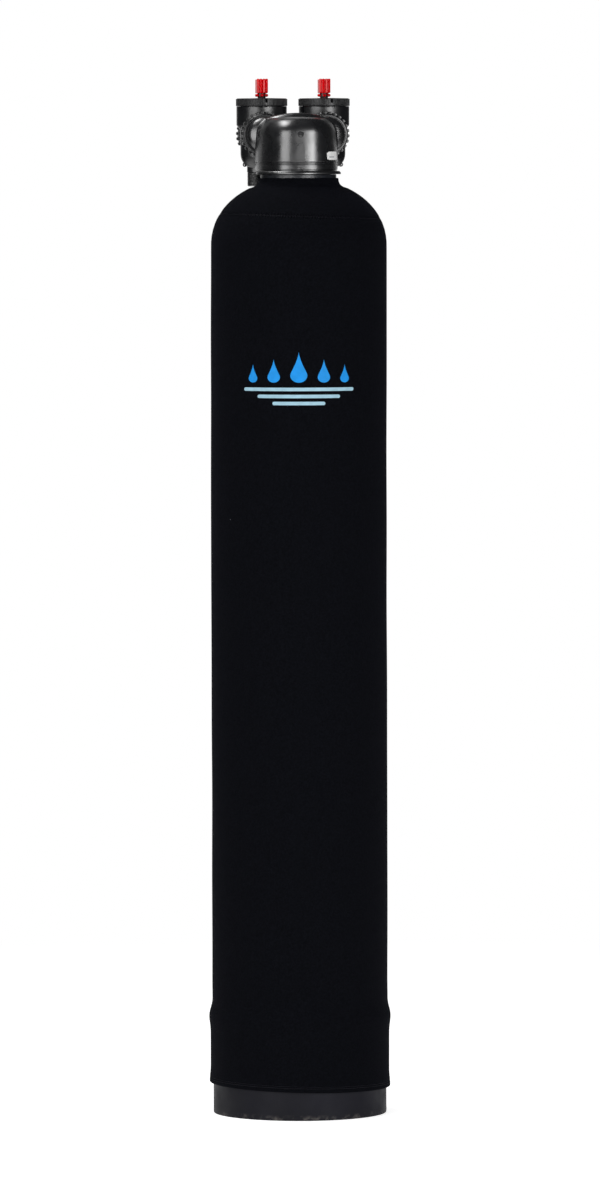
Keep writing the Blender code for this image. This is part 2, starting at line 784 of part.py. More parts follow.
def make_head_base():
    """The head's flange on the tank's neck and the plug inside it."""
    plug = NECK_BORE_RADIUS - PLUG_CLEARANCE
    flange_bottom = NECK_TOP + FIT_GAP
    flange_top = flange_bottom + HEAD_FLANGE_THICKNESS
    profile = [
        (0.0, PLUG_BOTTOM),
        (plug, PLUG_BOTTOM),
        (plug, flange_bottom),
        (HEAD_FLANGE_RADIUS, flange_bottom),
        (HEAD_FLANGE_RADIUS, flange_top),
        (0.0, flange_top),
    ]
    return turned("head base", profile, TANK_SEGMENTS)


def make_lobe(side):
    """A round lobe and its threaded port."""
    profile = []
    for step in range(LOBE_STEPS + 1):
        angle = HALF_TURN / 2 * step / LOBE_STEPS
        profile.append((LOBE_RADIUS * math.sin(angle), LOBE_Y - LOBE_RADIUS * math.cos(angle)))
    profile += [
        (LOBE_RADIUS, LOBE_END_Y),
        (THREAD_RADIUS, LOBE_END_Y),
        (THREAD_RADIUS, HEAD_FACE_Y),
        (0.0, HEAD_FACE_Y),
    ]
    return along_y(turned("lobe", profile, THREAD_SEGMENTS), side, 0.0)


def along_y(piece, side, face_y):
    """The piece's own Z laid along +Y from a union's face."""
    piece.location = (side * PORT_X, face_y, PORT_Z)
    piece.rotation_euler.x = -HALF_TURN / 2
    return piece


def make_head_waterways():
    """Cutters for the riser's socket, the ring channel, both ports and what links them."""
    past = FIT_GAP
    bore = RISER_RADIUS - RISER_WALL
    groove = RISER_SOCKET_RADIUS + RISER_RING_THICKNESS + FIT_GAP
    groove_z = PLUG_BOTTOM + RISER_RING_LIFT
    groove_half = RISER_RING_THICKNESS / 2 + FIT_GAP
    channel_top = PORT_Z + PASSAGE_RADIUS / 2
    riser_channel = turned("riser channel", [
        (0.0, PLUG_BOTTOM - past),
        (RISER_SOCKET_RADIUS, PLUG_BOTTOM - past),
        (RISER_SOCKET_RADIUS, groove_z - groove_half),
        (groove, groove_z - groove_half),
        (groove, groove_z + groove_half),
        (RISER_SOCKET_RADIUS, groove_z + groove_half),
        (RISER_SOCKET_RADIUS, RISER_TOP + FIT_GAP),
        (bore, RISER_TOP + FIT_GAP),
        (bore, channel_top),
        (0.0, channel_top),
    ], TUBE_SEGMENTS)
    annulus_top = PORT_Z - ANNULUS_TOP_DROP
    ring_channel = turned("ring channel", [
        (ANNULUS_INNER_RADIUS, PLUG_BOTTOM - past),
        (ANNULUS_OUTER_RADIUS, PLUG_BOTTOM - past),
        (ANNULUS_OUTER_RADIUS, annulus_top),
        (ANNULUS_INNER_RADIUS, annulus_top),
    ], TUBE_SEGMENTS)
    port = [
        (0.0, PORT_BORE_START_Y - HEAD_FACE_Y),
        (PORT_BORE_RADIUS, PORT_BORE_START_Y - HEAD_FACE_Y),
        (PORT_BORE_RADIUS, -SOCKET_DEPTH),
        (SOCKET_RADIUS, -SOCKET_DEPTH),
        (SOCKET_RADIUS, past),
        (0.0, past),
    ]
    ports = [along_y(turned("port", port, TUBE_SEGMENTS), side, HEAD_FACE_Y) for side in (1, -1)]
    meet_y = PORT_BORE_START_Y + PORT_BORE_RADIUS
    annulus_middle = (ANNULUS_INNER_RADIUS + ANNULUS_OUTER_RADIUS) / 2
    inlet_way = rod(
        "inlet way",
        (0.0, 0.0, channel_top - PASSAGE_RADIUS),
        (PORT_X, meet_y, PORT_Z),
        PASSAGE_RADIUS,
    )
    outlet_way = rod(
        "outlet way",
        (-annulus_middle, 0.0, annulus_top - PASSAGE_RADIUS / 2),
        (-PORT_X, meet_y, PORT_Z),
        PASSAGE_RADIUS,
    )
    return [riser_channel, ring_channel, *ports, inlet_way, outlet_way]


def make_head(looks):
    """The in/out head: domed body, neck flange, plug, two ports and its waterways."""
    outer = [make_head_body(), make_head_arch(), make_lobe(1), make_lobe(-1)]
    shape = combined(make_head_base(), outer, make_head_waterways())
    finished("in_out_head", shape, looks["head"])
    major = NECK_BORE_RADIUS - PLUG_CLEARANCE + FIT_GAP + NECK_RING_THICKNESS / 2
    ring = seal(major, NECK_RING_THICKNESS, NECK_TOP - NECK_RING_THICKNESS / 2, TANK_SEGMENTS)
    finished("neck_o_ring", ring, looks["seal"])


# Unions

def spigot_line():
    """A spigot's outside from its tip to past the nut: (radius, distance from the union's face)."""
    tip = FIT_GAP - SOCKET_DEPTH
    ring_half = UNION_RING_THICKNESS / 2 + FIT_GAP
    ring_seat = SOCKET_RADIUS - UNION_RING_THICKNESS - 2 * FIT_GAP
    split_seat = SPIGOT_RADIUS - SPLIT_RING_BITE
    return [
        (SPIGOT_RADIUS - SPIGOT_CHAMFER, tip),
        (SPIGOT_RADIUS, tip + SPIGOT_CHAMFER),
        (SPIGOT_RADIUS, -UNION_RING_DEPTH - ring_half),
        (ring_seat, -UNION_RING_DEPTH - ring_half),
        (ring_seat, -UNION_RING_DEPTH + ring_half),
        (SPIGOT_RADIUS, -UNION_RING_DEPTH + ring_half),
        (SPIGOT_RADIUS, 0.0),
        (split_seat, 0.0),
        (split_seat, NUT_SEAT),
        (SPIGOT_RADIUS, NUT_SEAT),
    ]


def make_nut_mesh():
    """A union nut: threaded skirt, inner shoulder and a castellated rim."""
    rim = plate(
        "nut rim",
        toothed(NUT_RIM_RADIUS, NUT_TOOTH_DEPTH, NUT_TEETH),
        NUT_END - NUT_RIM_LENGTH,
        NUT_RIM_LENGTH,
    )
    skirt = turned("nut skirt", [
        (0.0, -NUT_SKIRT),
        (NUT_BODY_RADIUS, -NUT_SKIRT),
        (NUT_BODY_RADIUS, NUT_END - NUT_RIM_LENGTH / 2),
        (0.0, NUT_END - NUT_RIM_LENGTH / 2),
    ], THREAD_SEGMENTS)
    bore = turned("nut bore", [
        (0.0, -NUT_SKIRT - FIT_GAP),
        (THREAD_RADIUS + THREAD_CLEARANCE, -NUT_SKIRT - FIT_GAP),
        (THREAD_RADIUS + THREAD_CLEARANCE, NUT_SEAT),
        (SOCKET_RADIUS, NUT_SEAT),
        (SOCKET_RADIUS, NUT_END + FIT_GAP),
        (0.0, NUT_END + FIT_GAP),
    ], THREAD_SEGMENTS)
    shape = combined(rim, [skirt], [bore])
    mesh = plain_mesh(shape)
    bpy.data.objects.remove(shape)
    return mesh


def make_split_ring_mesh():
    """A flat ring with a gap, which locks a spigot behind its nut's shoulder."""
    inner = SPIGOT_RADIUS - SPLIT_RING_BITE + FIT_GAP
    low = FIT_GAP
    high = FIT_GAP + SPLIT_RING_THICKNESS
    ring = turned("split ring", [
        (inner, low),
        (SPLIT_RING_RADIUS, low),
        (SPLIT_RING_RADIUS, high),
        (inner, high),
    ], TUBE_SEGMENTS)
    size = (2 * SPLIT_RING_RADIUS, SPLIT_RING_GAP, 2 * high)
    gap = box("split", size, (SPLIT_RING_RADIUS, 0.0, high / 2))
    ring = combined(ring, cut=[gap])
    mesh = plain_mesh(ring)
    bpy.data.objects.remove(ring)
    return mesh


def make_union_pieces(looks):
    """A nut, a split ring and a seal for each of the four unions."""
    nut = make_nut_mesh()
    split_ring = make_split_ring_mesh()
    major = SOCKET_RADIUS - FIT_GAP - UNION_RING_THICKNESS / 2
    ring = seal(major, UNION_RING_THICKNESS, -UNION_RING_DEPTH, TUBE_SEGMENTS)
    o_ring = plain_mesh(ring)
    bpy.data.objects.remove(ring)
    for stream, side in (("inlet", 1), ("outlet", -1)):
        for end, face_y in (("head", HEAD_FACE_Y), ("pipe", PIPE_FACE_Y)):
            for kind, mesh, look in (
                ("nut", nut, "head"), ("split_ring", split_ring, "basket"), ("o_ring", o_ring, "seal")
            ):
                along_y(placed(f"{stream}_{end}_{kind}", mesh, looks[look]), side, face_y)


# Bypass valve

def make_chamber():
    """Outside of the inlet chamber: a wide drum on a narrower bowl."""
    chamfer_low = PORT_Z + CHAMBER_CHAMFER_RISE
    bowl_middle = BOWL_RADIUS - BOWL_ROUNDING
    profile = [(0.0, BOWL_BOTTOM)]
    for step in range(BOWL_STEPS + 1):
        angle = HALF_TURN / 2 * step / BOWL_STEPS
        profile.append((
            bowl_middle + BOWL_ROUNDING * math.sin(angle),
            BOWL_BOTTOM + BOWL_ROUNDING * (1 - math.cos(angle)),
        ))
    profile += [
        (BOWL_RADIUS, chamfer_low),
        (CHAMBER_RADIUS, chamfer_low + CHAMBER_CHAMFER_HEIGHT),
        (CHAMBER_RADIUS, CHAMBER_TOP),
        (0.0, CHAMBER_TOP),
    ]
    return profile


def chamber_cavity():
    """Inside of a chamber: the cap's bore, the rotor's ledge, its bore and a rounded floor."""
    wall = BOWL_RADIUS - BOWL_BORE_RADIUS
    rounding = BOWL_ROUNDING - wall
    floor = BOWL_BOTTOM + BOWL_FLOOR
    middle = BOWL_BORE_RADIUS - rounding
    profile = [(0.0, floor)]
    for step in range(BOWL_FLOOR_STEPS + 1):
        angle = HALF_TURN / 2 * step / BOWL_FLOOR_STEPS
        profile.append((
            middle + rounding * math.sin(angle),
            floor + rounding * (1 - math.cos(angle)),
        ))
    profile += [
        (BOWL_BORE_RADIUS, CHAMBER_LEDGE),
        (CHAMBER_BORE_RADIUS, CHAMBER_LEDGE),
        (CHAMBER_BORE_RADIUS, CHAMBER_TOP + FIT_GAP),
        (0.0, CHAMBER_TOP + FIT_GAP),
    ]
    return profile


def rotor_bottom():
    """Height of the rotor's lower end, at the top of the bowl's rounded floor."""
    wall = BOWL_RADIUS - BOWL_BORE_RADIUS
    return BOWL_BOTTOM + BOWL_FLOOR + BOWL_ROUNDING - wall + FIT_GAP


def on_valve_axis(piece, side):
    """The piece moved onto a valve's axis."""
    piece.location = (side * PORT_X, VALVE_Y, 0.0)
    return piece


def make_bypass(looks, root):
    """The bypass body: half of it is built and mirrored, with the crossover cut at the middle."""
    reach = VALVE_Y - (BOWL_RADIUS + BOWL_BORE_RADIUS) / 2 - HEAD_FACE_Y
    spigot = spigot_line()
    spigot = [(0.0, spigot[0][1]), *spigot, (SPIGOT_RADIUS, reach), (0.0, reach)]
    back_tube = [
        (0.0, VALVE_Y - PIPE_FACE_Y + BOWL_BORE_RADIUS),
        (THREAD_RADIUS, VALVE_Y - PIPE_FACE_Y + BOWL_BORE_RADIUS),
        (THREAD_RADIUS, 0.0),
        (0.0, 0.0),
    ]
    ear_x = PORT_X + EAR_REACH
    ear_z = BOWL_BOTTOM + EAR_RISE
    ear_half = EAR_THICKNESS / 2
    ear_front = (ear_x, VALVE_Y - ear_half, ear_z)
    ear_back = (ear_x, VALVE_Y + ear_half, ear_z)
    hole_front = (ear_x, VALVE_Y - EAR_THICKNESS, ear_z)
    hole_back = (ear_x, VALVE_Y + EAR_THICKNESS, ear_z)
    past_middle = (-CROSSOVER_RADIUS, VALVE_Y, PORT_Z)
    wall_end = (PORT_X - BOWL_BORE_RADIUS, VALVE_Y, PORT_Z)
    far_past_middle = (-2 * CROSSOVER_RADIUS, VALVE_Y, PORT_Z)
    bore_end = (PORT_X, VALVE_Y, PORT_Z)
    joined = [
        rod("crossover", past_middle, wall_end, CROSSOVER_RADIUS),
        along_y(turned("spigot", spigot, TUBE_SEGMENTS), 1, HEAD_FACE_Y),
        along_y(turned("back tube", back_tube, THREAD_SEGMENTS), 1, PIPE_FACE_Y),
        rod("ear", ear_front, ear_back, EAR_RADIUS, EAR_SEGMENTS),
    ]
    tip = HEAD_FACE_Y - SOCKET_DEPTH - PIPE_FACE_Y
    through = [
        (0.0, tip),
        (PORT_BORE_RADIUS, tip),
        (PORT_BORE_RADIUS, -SOCKET_DEPTH),
        (SOCKET_RADIUS, -SOCKET_DEPTH),
        (SOCKET_RADIUS, FIT_GAP),
        (0.0, FIT_GAP),
    ]
    cut = [
        on_valve_axis(turned("cavity", chamber_cavity(), VALVE_SEGMENTS), 1),
        along_y(turned("through bore", through, TUBE_SEGMENTS), 1, PIPE_FACE_Y),
        rod("crossover bore", far_past_middle, bore_end, PORT_BORE_RADIUS),
        rod("ear hole", hole_front, hole_back, EAR_HOLE_RADIUS, EAR_HOLE_SEGMENTS),
    ]
    half = combined(on_valve_axis(turned("chamber", make_chamber(), VALVE_SEGMENTS), 1), joined, cut)
    mirror = half.modifiers.new("Other side", "MIRROR")
    mirror.mirror_object = root
    mirror.use_axis = (True, False, False)
    mirror.use_bisect_axis = (True, False, False)
    mirror.bisect_threshold = WELD_DISTANCE
    mirror.merge_threshold = WELD_DISTANCE
    finished("bypass_body", half, looks["head"], half.location.copy())


def make_cap_mesh():
    """A chamber's cap: ribbed rim with spanner slots, and a hollow skirt with a seal groove."""
    skirt = CHAMBER_BORE_RADIUS - TURN_GAP
    groove = skirt - CAP_RING_THICKNESS - FIT_GAP
    groove_half = CAP_RING_THICKNESS / 2 + FIT_GAP
    skirt_bottom = ROTOR_TOP + FIT_GAP
    rim = plate("cap rim", toothed(CAP_RADIUS, CAP_RIB_DEPTH, CAP_RIBS), CAP_BOTTOM, CAP_RIM_HEIGHT)
    core = turned("cap core", [
        (0.0, skirt_bottom),
        (skirt, skirt_bottom),
        (skirt, CAP_RING_Z - groove_half),
        (groove, CAP_RING_Z - groove_half),
        (groove, CAP_RING_Z + groove_half),
        (skirt, CAP_RING_Z + groove_half),
        (skirt, CAP_TOP - CAP_RIM_HEIGHT / 2),
        (0.0, CAP_TOP - CAP_RIM_HEIGHT / 2),
    ], VALVE_SEGMENTS)
    hollow = turned("cap hollow", [
        (0.0, skirt_bottom - FIT_GAP),
        (CAP_HOLLOW_RADIUS, skirt_bottom - FIT_GAP),
        (CAP_HOLLOW_RADIUS, CAP_TOP - CAP_ROOF),
        (STEM_RADIUS + FIT_GAP, CAP_TOP - CAP_ROOF),
        (STEM_RADIUS + FIT_GAP, CAP_TOP + FIT_GAP),
        (0.0, CAP_TOP + FIT_GAP),
    ], TUBE_SEGMENTS)
    notches = []
    for slot in range(CAP_SLOTS):
        turn = 2 * math.pi * slot / CAP_SLOTS
        size = (2 * CAP_SLOT_BITE, CAP_SLOT_WIDTH, 2 * CAP_SLOT_DEPTH)
        notches.append(box("cap slot", size, (CAP_RADIUS, 0.0, CAP_TOP), turn))
    shape = combined(rim, [core], [hollow, *notches])
    mesh = plain_mesh(shape)
    bpy.data.objects.remove(shape)
    return mesh


def make_rotor_mesh():
    """A valve rotor: a T-bored barrel with its flange, stem and six-sided drive."""
    barrel = BOWL_BORE_RADIUS - TURN_GAP
    flange = CHAMBER_BORE_RADIUS - TURN_GAP
    seal_half = ROTOR_SEAL_THICKNESS / 2 + FIT_GAP
    seal_seat = barrel - ROTOR_SEAL_THICKNESS - FIT_GAP
    stem_half = STEM_RING_THICKNESS / 2 + FIT_GAP
    stem_seat = STEM_RADIUS - STEM_RING_THICKNESS - FIT_GAP
    core_top = PORT_Z - ROTOR_CORE_DROP
    body = turned("rotor", [
        (0.0, core_top),
        (ROTOR_CORE_RADIUS, core_top),
        (ROTOR_CORE_RADIUS, rotor_bottom()),
        (barrel, rotor_bottom()),
        (barrel, ROTOR_SEAL_Z - seal_half),
        (seal_seat, ROTOR_SEAL_Z - seal_half),
        (seal_seat, ROTOR_SEAL_Z + seal_half),
        (barrel, ROTOR_SEAL_Z + seal_half),
        (barrel, CHAMBER_LEDGE + FIT_GAP),
        (flange, CHAMBER_LEDGE + FIT_GAP),
        (flange, ROTOR_TOP),
        (0.0, ROTOR_TOP),
    ], VALVE_SEGMENTS)
    stem = turned("stem", [
        (0.0, ROTOR_TOP - ROTOR_FLANGE_THICKNESS / 2),
        (STEM_RADIUS, ROTOR_TOP - ROTOR_FLANGE_THICKNESS / 2),
        (STEM_RADIUS, STEM_RING_Z - stem_half),
        (stem_seat, STEM_RING_Z - stem_half),
        (stem_seat, STEM_RING_Z + stem_half),
        (STEM_RADIUS, STEM_RING_Z + stem_half),
        (STEM_RADIUS, CAP_TOP),
        (0.0, CAP_TOP),
    ], TUBE_SEGMENTS)
    drive_foot = (0.0, 0.0, CAP_TOP - STEM_RING_THICKNESS / 2)
    drive = rod("drive", drive_foot, (0.0, 0.0, STEM_TOP), DRIVE_RADIUS, DRIVE_SIDES)
    front = (0.0, -CHAMBER_RADIUS, PORT_Z)
    back = (0.0, CHAMBER_RADIUS, PORT_Z)
    through = rod("through", front, back, PORT_BORE_RADIUS)
    branch = rod("branch", (0.0, 0.0, PORT_Z), (CHAMBER_RADIUS, 0.0, PORT_Z), PORT_BORE_RADIUS)
    shape = combined(body, [stem, drive], [through, branch])
    mesh = plain_mesh(shape)
    bpy.data.objects.remove(shape)
    return mesh


def arrow_outline():
    """The handle from above: an arrow to +Y whose tail is a comb of four ribs."""
    pitch = HANDLE_RIB_WIDTH + HANDLE_RIB_SPACE
    half_width = 2 * HANDLE_RIB_WIDTH + 1.5 * HANDLE_RIB_SPACE
    right = [
        (half_width, HANDLE_WING_TIP_Y),
        (half_width, HANDLE_WING_Y),
        (HANDLE_WAIST, HANDLE_WING_Y - HANDLE_RIB_WIDTH / 2),
        (HANDLE_WAIST, HANDLE_WAIST_Y),
        (half_width, HANDLE_WAIST_Y - HANDLE_RIB_WIDTH / 2),
    ]
    for rib in range(2):
        outer = half_width - rib * pitch
        right += [
            (outer, HANDLE_TAIL_Y),
            (outer - HANDLE_RIB_WIDTH, HANDLE_TAIL_Y),
            (outer - HANDLE_RIB_WIDTH, HANDLE_RIB_ROOT_Y),
        ]
        if rib == 0:
            right.append((outer - pitch, HANDLE_RIB_ROOT_Y))
    left = [(-x, y) for x, y in reversed(right)]
    return [(0.0, HANDLE_TIP_Y), *right, *left]


def make_handle_mesh():
    """A red handle: a lobed flange, an arrow-shaped grip and a six-sided blind socket."""
    flange_top = HANDLE_BOTTOM + HANDLE_FLANGE_HEIGHT
    flange = plate(
        "handle flange",
        toothed(HANDLE_FLANGE_RADIUS, HANDLE_FLANGE_NOTCH, HANDLE_FLANGE_LOBES),
        HANDLE_BOTTOM,
        HANDLE_FLANGE_HEIGHT,
    )
    grip = plate("grip", arrow_outline(), flange_top - FIT_GAP, HANDLE_GRIP_HEIGHT + FIT_GAP)
    socket_foot = (0.0, 0.0, HANDLE_BOTTOM - FIT_GAP)
    socket_top = (0.0, 0.0, STEM_TOP + FIT_GAP)
    socket = rod("socket", socket_foot, socket_top, DRIVE_RADIUS + FIT_GAP, DRIVE_SIDES)
    shape = combined(grip, [flange], [socket])
    mesh = plain_mesh(shape)
    bpy.data.objects.remove(shape)
    return mesh


def make_valve_pieces(looks, root):
    """Cap, rotor, seals and handle of both chambers, with a pivot empty on each valve's axis."""
    cap = make_cap_mesh()
    rotor = make_rotor_mesh()
    handle = make_handle_mesh()
    cap_ring_major = CHAMBER_BORE_RADIUS - TURN_GAP - CAP_RING_THICKNESS / 2
    seal_major = BOWL_BORE_RADIUS - TURN_GAP - ROTOR_SEAL_THICKNESS / 2
    stem_major = STEM_RADIUS - STEM_RING_THICKNESS / 2
    rings = {
        "cap_o_ring": seal(cap_ring_major, CAP_RING_THICKNESS, CAP_RING_Z, VALVE_SEGMENTS),
        "barrel_seal": seal(seal_major, ROTOR_SEAL_THICKNESS, ROTOR_SEAL_Z, VALVE_SEGMENTS),
        "stem_o_ring": seal(stem_major, STEM_RING_THICKNESS, STEM_RING_Z, TUBE_SEGMENTS),
    }
    ring_meshes = {name: plain_mesh(ring) for name, ring in rings.items()}
    for ring in rings.values():
        bpy.data.objects.remove(ring)
    for stream, side, cap_turn in (("inlet", 1, INLET_CAP_TURN), ("outlet", -1, OUTLET_CAP_TURN)):
        axis = (side * PORT_X, VALVE_Y, 0.0)
        pivot = register(stream + " valve axis", None)
        pivot.location = axis
        pivot.parent = root
        placed(stream + "_cap", cap, looks["head"], axis, (0.0, 0.0, cap_turn))
        placed(stream + "_cap_o_ring", ring_meshes["cap_o_ring"], looks["seal"], axis, (0.0, 0.0, cap_turn))
        rotor_turn = 0.0 if side > 0 else HALF_TURN
        moving = [
            placed(stream + "_rotor", rotor, looks["basket"], rotation=(0.0, 0.0, rotor_turn)),
            placed(stream + "_barrel_seal", ring_meshes["barrel_seal"], looks["seal"]),
            placed(stream + "_stem_o_ring", ring_meshes["stem_o_ring"], looks["seal"]),
            placed(stream + "_handle", handle, looks["handle"]),
        ]
        for piece in moving:
            piece.parent = pivot


# Elbows

def elbow_station(distance, radius):
    """A ring of the elbow round its bent centre line, at a distance from the pipe union's face."""
    straight = ELBOW_LEG_REACH - ELBOW_BEND_RADIUS
    arc = ELBOW_BEND_RADIUS * HALF_TURN / 2
    turn = min(max((distance - straight) / ELBOW_BEND_RADIUS, 0.0), HALF_TURN / 2)
    along = min(distance, straight) + ELBOW_BEND_RADIUS * math.sin(turn)
    down = ELBOW_BEND_RADIUS * (1 - math.cos(turn)) + max(distance - straight - arc, 0.0)
    out = Vector((0.0, math.sin(turn), math.cos(turn)))
    centre = Vector((0.0, PIPE_FACE_Y + along, PORT_Z - down))
    ring = []
    for index in range(TUBE_SEGMENTS):
        angle = 2 * math.pi * index / TUBE_SEGMENTS
        ring.append(centre + radius * (Vector((math.cos(angle), 0.0, 0.0)) + out * math.sin(angle)))
    return ring


def make_elbow_mesh():
    """A bent spigot that turns down to a threaded pipe end."""
    straight = ELBOW_LEG_REACH - ELBOW_BEND_RADIUS
    bend_end = straight + ELBOW_BEND_RADIUS * HALF_TURN / 2
    body_start = NUT_END + FIT_GAP
    shoulder = bend_end + ELBOW_SHOULDER_LENGTH
    thread_start = shoulder + ELBOW_SMOOTH_LENGTH
    end = thread_start + ELBOW_THREAD_LENGTH
    bend = [
        straight + (bend_end - straight) * step / ELBOW_BEND_STEPS
        for step in range(ELBOW_BEND_STEPS + 1)
    ]
    outer = [elbow_station(distance, radius) for radius, distance in spigot_line()]
    outer += [
        elbow_station(body_start, SPIGOT_RADIUS),
        elbow_station(body_start, ELBOW_BODY_RADIUS),
    ]
    outer += [elbow_station(distance, ELBOW_BODY_RADIUS) for distance in bend]
    outer += [
        elbow_station(shoulder, ELBOW_BODY_RADIUS),
        elbow_station(shoulder + ELBOW_BODY_RADIUS - ELBOW_LEG_RADIUS, ELBOW_LEG_RADIUS),
        elbow_station(end - ELBOW_THREAD_CHAMFER, ELBOW_LEG_RADIUS),
        elbow_station(end, ELBOW_LEG_RADIUS - ELBOW_THREAD_CHAMFER),
    ]
    inner = [elbow_station(distance, PORT_BORE_RADIUS) for distance in (end, *bend[::-1])]
    inner.append(elbow_station(FIT_GAP - SOCKET_DEPTH, PORT_BORE_RADIUS))
    shape = loft("elbow", outer + inner, hollow=True)
    mesh = plain_mesh(shape)
    bpy.data.objects.remove(shape)
    return mesh


def make_elbows(looks):
    """The two pipe elbows behind the bypass valve."""
    mesh = make_elbow_mesh()
    for stream, side in (("inlet", 1), ("outlet", -1)):
        placed(stream + "_elbow", mesh, looks["head"], (side * PORT_X, 0.0, 0.0))


def main():
    """Build the whole filter."""
    clear_scene()
    looks = make_materials()
    root = register(NAME + " origin", None)
    make_boot(looks)
    make_tank(looks)
    make_jacket(looks)
    make_media(looks)
    make_riser(looks)
    make_bottom_basket(looks)
    make_top_basket(looks)
    make_head(looks)
    make_bypass(looks, root)
    make_union_pieces(looks)
    make_valve_pieces(looks, root)
    make_elbows(looks)


if __name__ == "__main__":
    main()
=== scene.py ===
"""Whole house carbon filter, dressed for its picture.

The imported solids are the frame, in metres: +Z up, pipes toward +Y, the inlet at +X.
Each operator dresses one piece or one group of like pieces, and one builds the stage.
"""

import json
import math

import bmesh
import bpy
import numpy as np
from mathutils import Matrix, Vector


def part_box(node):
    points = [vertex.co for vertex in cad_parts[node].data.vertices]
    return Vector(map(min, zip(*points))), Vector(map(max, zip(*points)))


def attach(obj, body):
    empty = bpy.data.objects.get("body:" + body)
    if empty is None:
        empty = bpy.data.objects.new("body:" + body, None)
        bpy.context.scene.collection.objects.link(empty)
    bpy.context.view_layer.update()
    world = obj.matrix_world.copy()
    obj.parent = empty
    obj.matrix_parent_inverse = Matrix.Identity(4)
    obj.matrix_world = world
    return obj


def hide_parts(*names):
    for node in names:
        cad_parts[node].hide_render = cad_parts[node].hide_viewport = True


bl_info = {
    "name": "Whole house carbon filter",
    "version": (1, 0, 0),
    "blender": (4, 5, 0),
    "location": "View3D > Sidebar > Water filter",
    "description": "Dresses the packed model of a jacketed water filter with a bypass valve",
    "category": "Object",
}

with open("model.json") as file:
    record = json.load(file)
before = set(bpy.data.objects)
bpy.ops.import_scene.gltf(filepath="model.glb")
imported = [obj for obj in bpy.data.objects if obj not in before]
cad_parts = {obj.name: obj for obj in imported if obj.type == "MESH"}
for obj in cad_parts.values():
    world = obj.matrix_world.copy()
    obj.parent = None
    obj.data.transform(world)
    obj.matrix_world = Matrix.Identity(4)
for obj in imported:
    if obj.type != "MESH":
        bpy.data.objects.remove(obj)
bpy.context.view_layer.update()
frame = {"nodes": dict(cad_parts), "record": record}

TURN = 2 * math.pi
FILTER = "filter"
STREAMS = {"inlet": 1, "outlet": -1}

# Places read from the solids
NECK_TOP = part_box("pressure_tank")[1].z
PLUG_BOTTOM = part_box("in_out_head")[0].z
HEAD_FACE_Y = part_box("in_out_head")[1].y
CAP_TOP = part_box("inlet_cap")[1].z
CAP_RADIUS = (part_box("inlet_cap")[1].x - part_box("inlet_cap")[0].x) / 2
PORT_X = (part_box("inlet_cap")[1].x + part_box("inlet_cap")[0].x) / 2
VALVE_Y = (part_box("inlet_cap")[1].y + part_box("inlet_cap")[0].y) / 2
HANDLE_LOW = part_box("inlet_handle")[0].z
HANDLE_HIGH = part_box("inlet_handle")[1].z
ELBOW_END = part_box("inlet_elbow")[0].z
BOOT_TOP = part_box("tank_base_boot")[1].z
JACKET_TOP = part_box("insulating_jacket")[1].z
JACKET_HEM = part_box("insulating_jacket")[0].z

# Sizes shared by several pieces
PORT_Z = NECK_TOP + 0.0597
PIPE_FACE_Y = 0.176
TANK_RADIUS = 0.127
DOME_HEIGHT = 0.096
DOME_POWER = 2.1
LOWER_EQUATOR = 0.108
UPPER_EQUATOR = 1.308
NECK_RADIUS = 0.057
RISER_RADIUS = 0.01365
THREAD_RADIUS = 0.025
PORT_ROOT = THREAD_RADIUS - 0.0012
SPIGOT_RADIUS = 0.0165
SPIGOT_TIP = 0.0155
SPIGOT_NECK = 0.015
SPIGOT_GROOVE = 0.0129
SOCKET_RADIUS = 0.017
SOCKET_DEPTH = 0.0145
PORT_BORE = 0.011
NUT_SEAT = 0.0048
NUT_END = 0.008
JACKET_OFFSET = 0.0053
CLOTH_RADIUS = 0.132
CAMERA_TURN = math.radians(-4.0)


# Settings

def length(name, description, default):
    """A size that a user may change."""
    return bpy.props.FloatProperty(name=name, description=description, default=default, unit="LENGTH")


def tint(name, description, default):
    """A colour that a user may change, given as sRGB hex."""
    return bpy.props.StringProperty(name=name, description=description, default=default)


class JacketSettings(bpy.types.PropertyGroup):
    """Sizes and colours of the neoprene jacket and its print."""
    thickness: length("Thickness", "Thickness of the neoprene", 0.0045)
    hem_tilt: length("Hem tilt", "How much lower the hem hangs on the inlet side", 0.0033)
    hem_height: length("Hem height", "Height of the turned hem", 0.0075)
    seam_height: length("Shoulder seam", "Height of the seam between tube and shoulder", 1.3525)
    seam_tilt: length("Seam tilt", "How much lower the seam runs on the inlet side", 0.0037)
    zigzag_width: length("Zigzag width", "Width of the flat seam's zigzag", 0.0066)
    zigzag_pitch: length("Zigzag pitch", "Length of one zigzag along the seam", 0.0048)
    stitch_pitch: length("Stitch pitch", "Length of one straight stitch", 0.0036)
    thread: length("Thread", "Radius of the sewing thread", 0.00032)
    fabric: tint("Fabric", "Colour of the jersey face", "#090A0E")
    print_height: length("Print height", "Height of the print's middle", 1.111)
    drop_ink: tint("Drop ink", "Colour of the printed drops", "#1C8AD8")
    bar_ink: tint("Bar ink", "Colour of the printed bars", "#9BBFCF")


class PlasticSettings(bpy.types.PropertyGroup):
    """Colours and finenesses of the mouldings."""
    grid: length("Grid", "Spacing of the points on the moulded shapes", 0.0011)
    black: tint("Black plastic", "Colour of the glass-filled plastic", "#0A0B0E")
    red: tint("Red plastic", "Colour of the handles", "#CE040B")
    boot: tint("Boot rubber", "Colour of the boot", "#13131A")
    ribs: bpy.props.IntProperty(name="Cap ribs", description="Ribs round a cap", default=96, min=8)
    teeth: bpy.props.IntProperty(name="Nut teeth", description="Castellations round a nut", default=26, min=6)
    pipe_pitch: length("Pipe thread pitch", "Pitch of the 1 inch pipe thread", 0.00221)


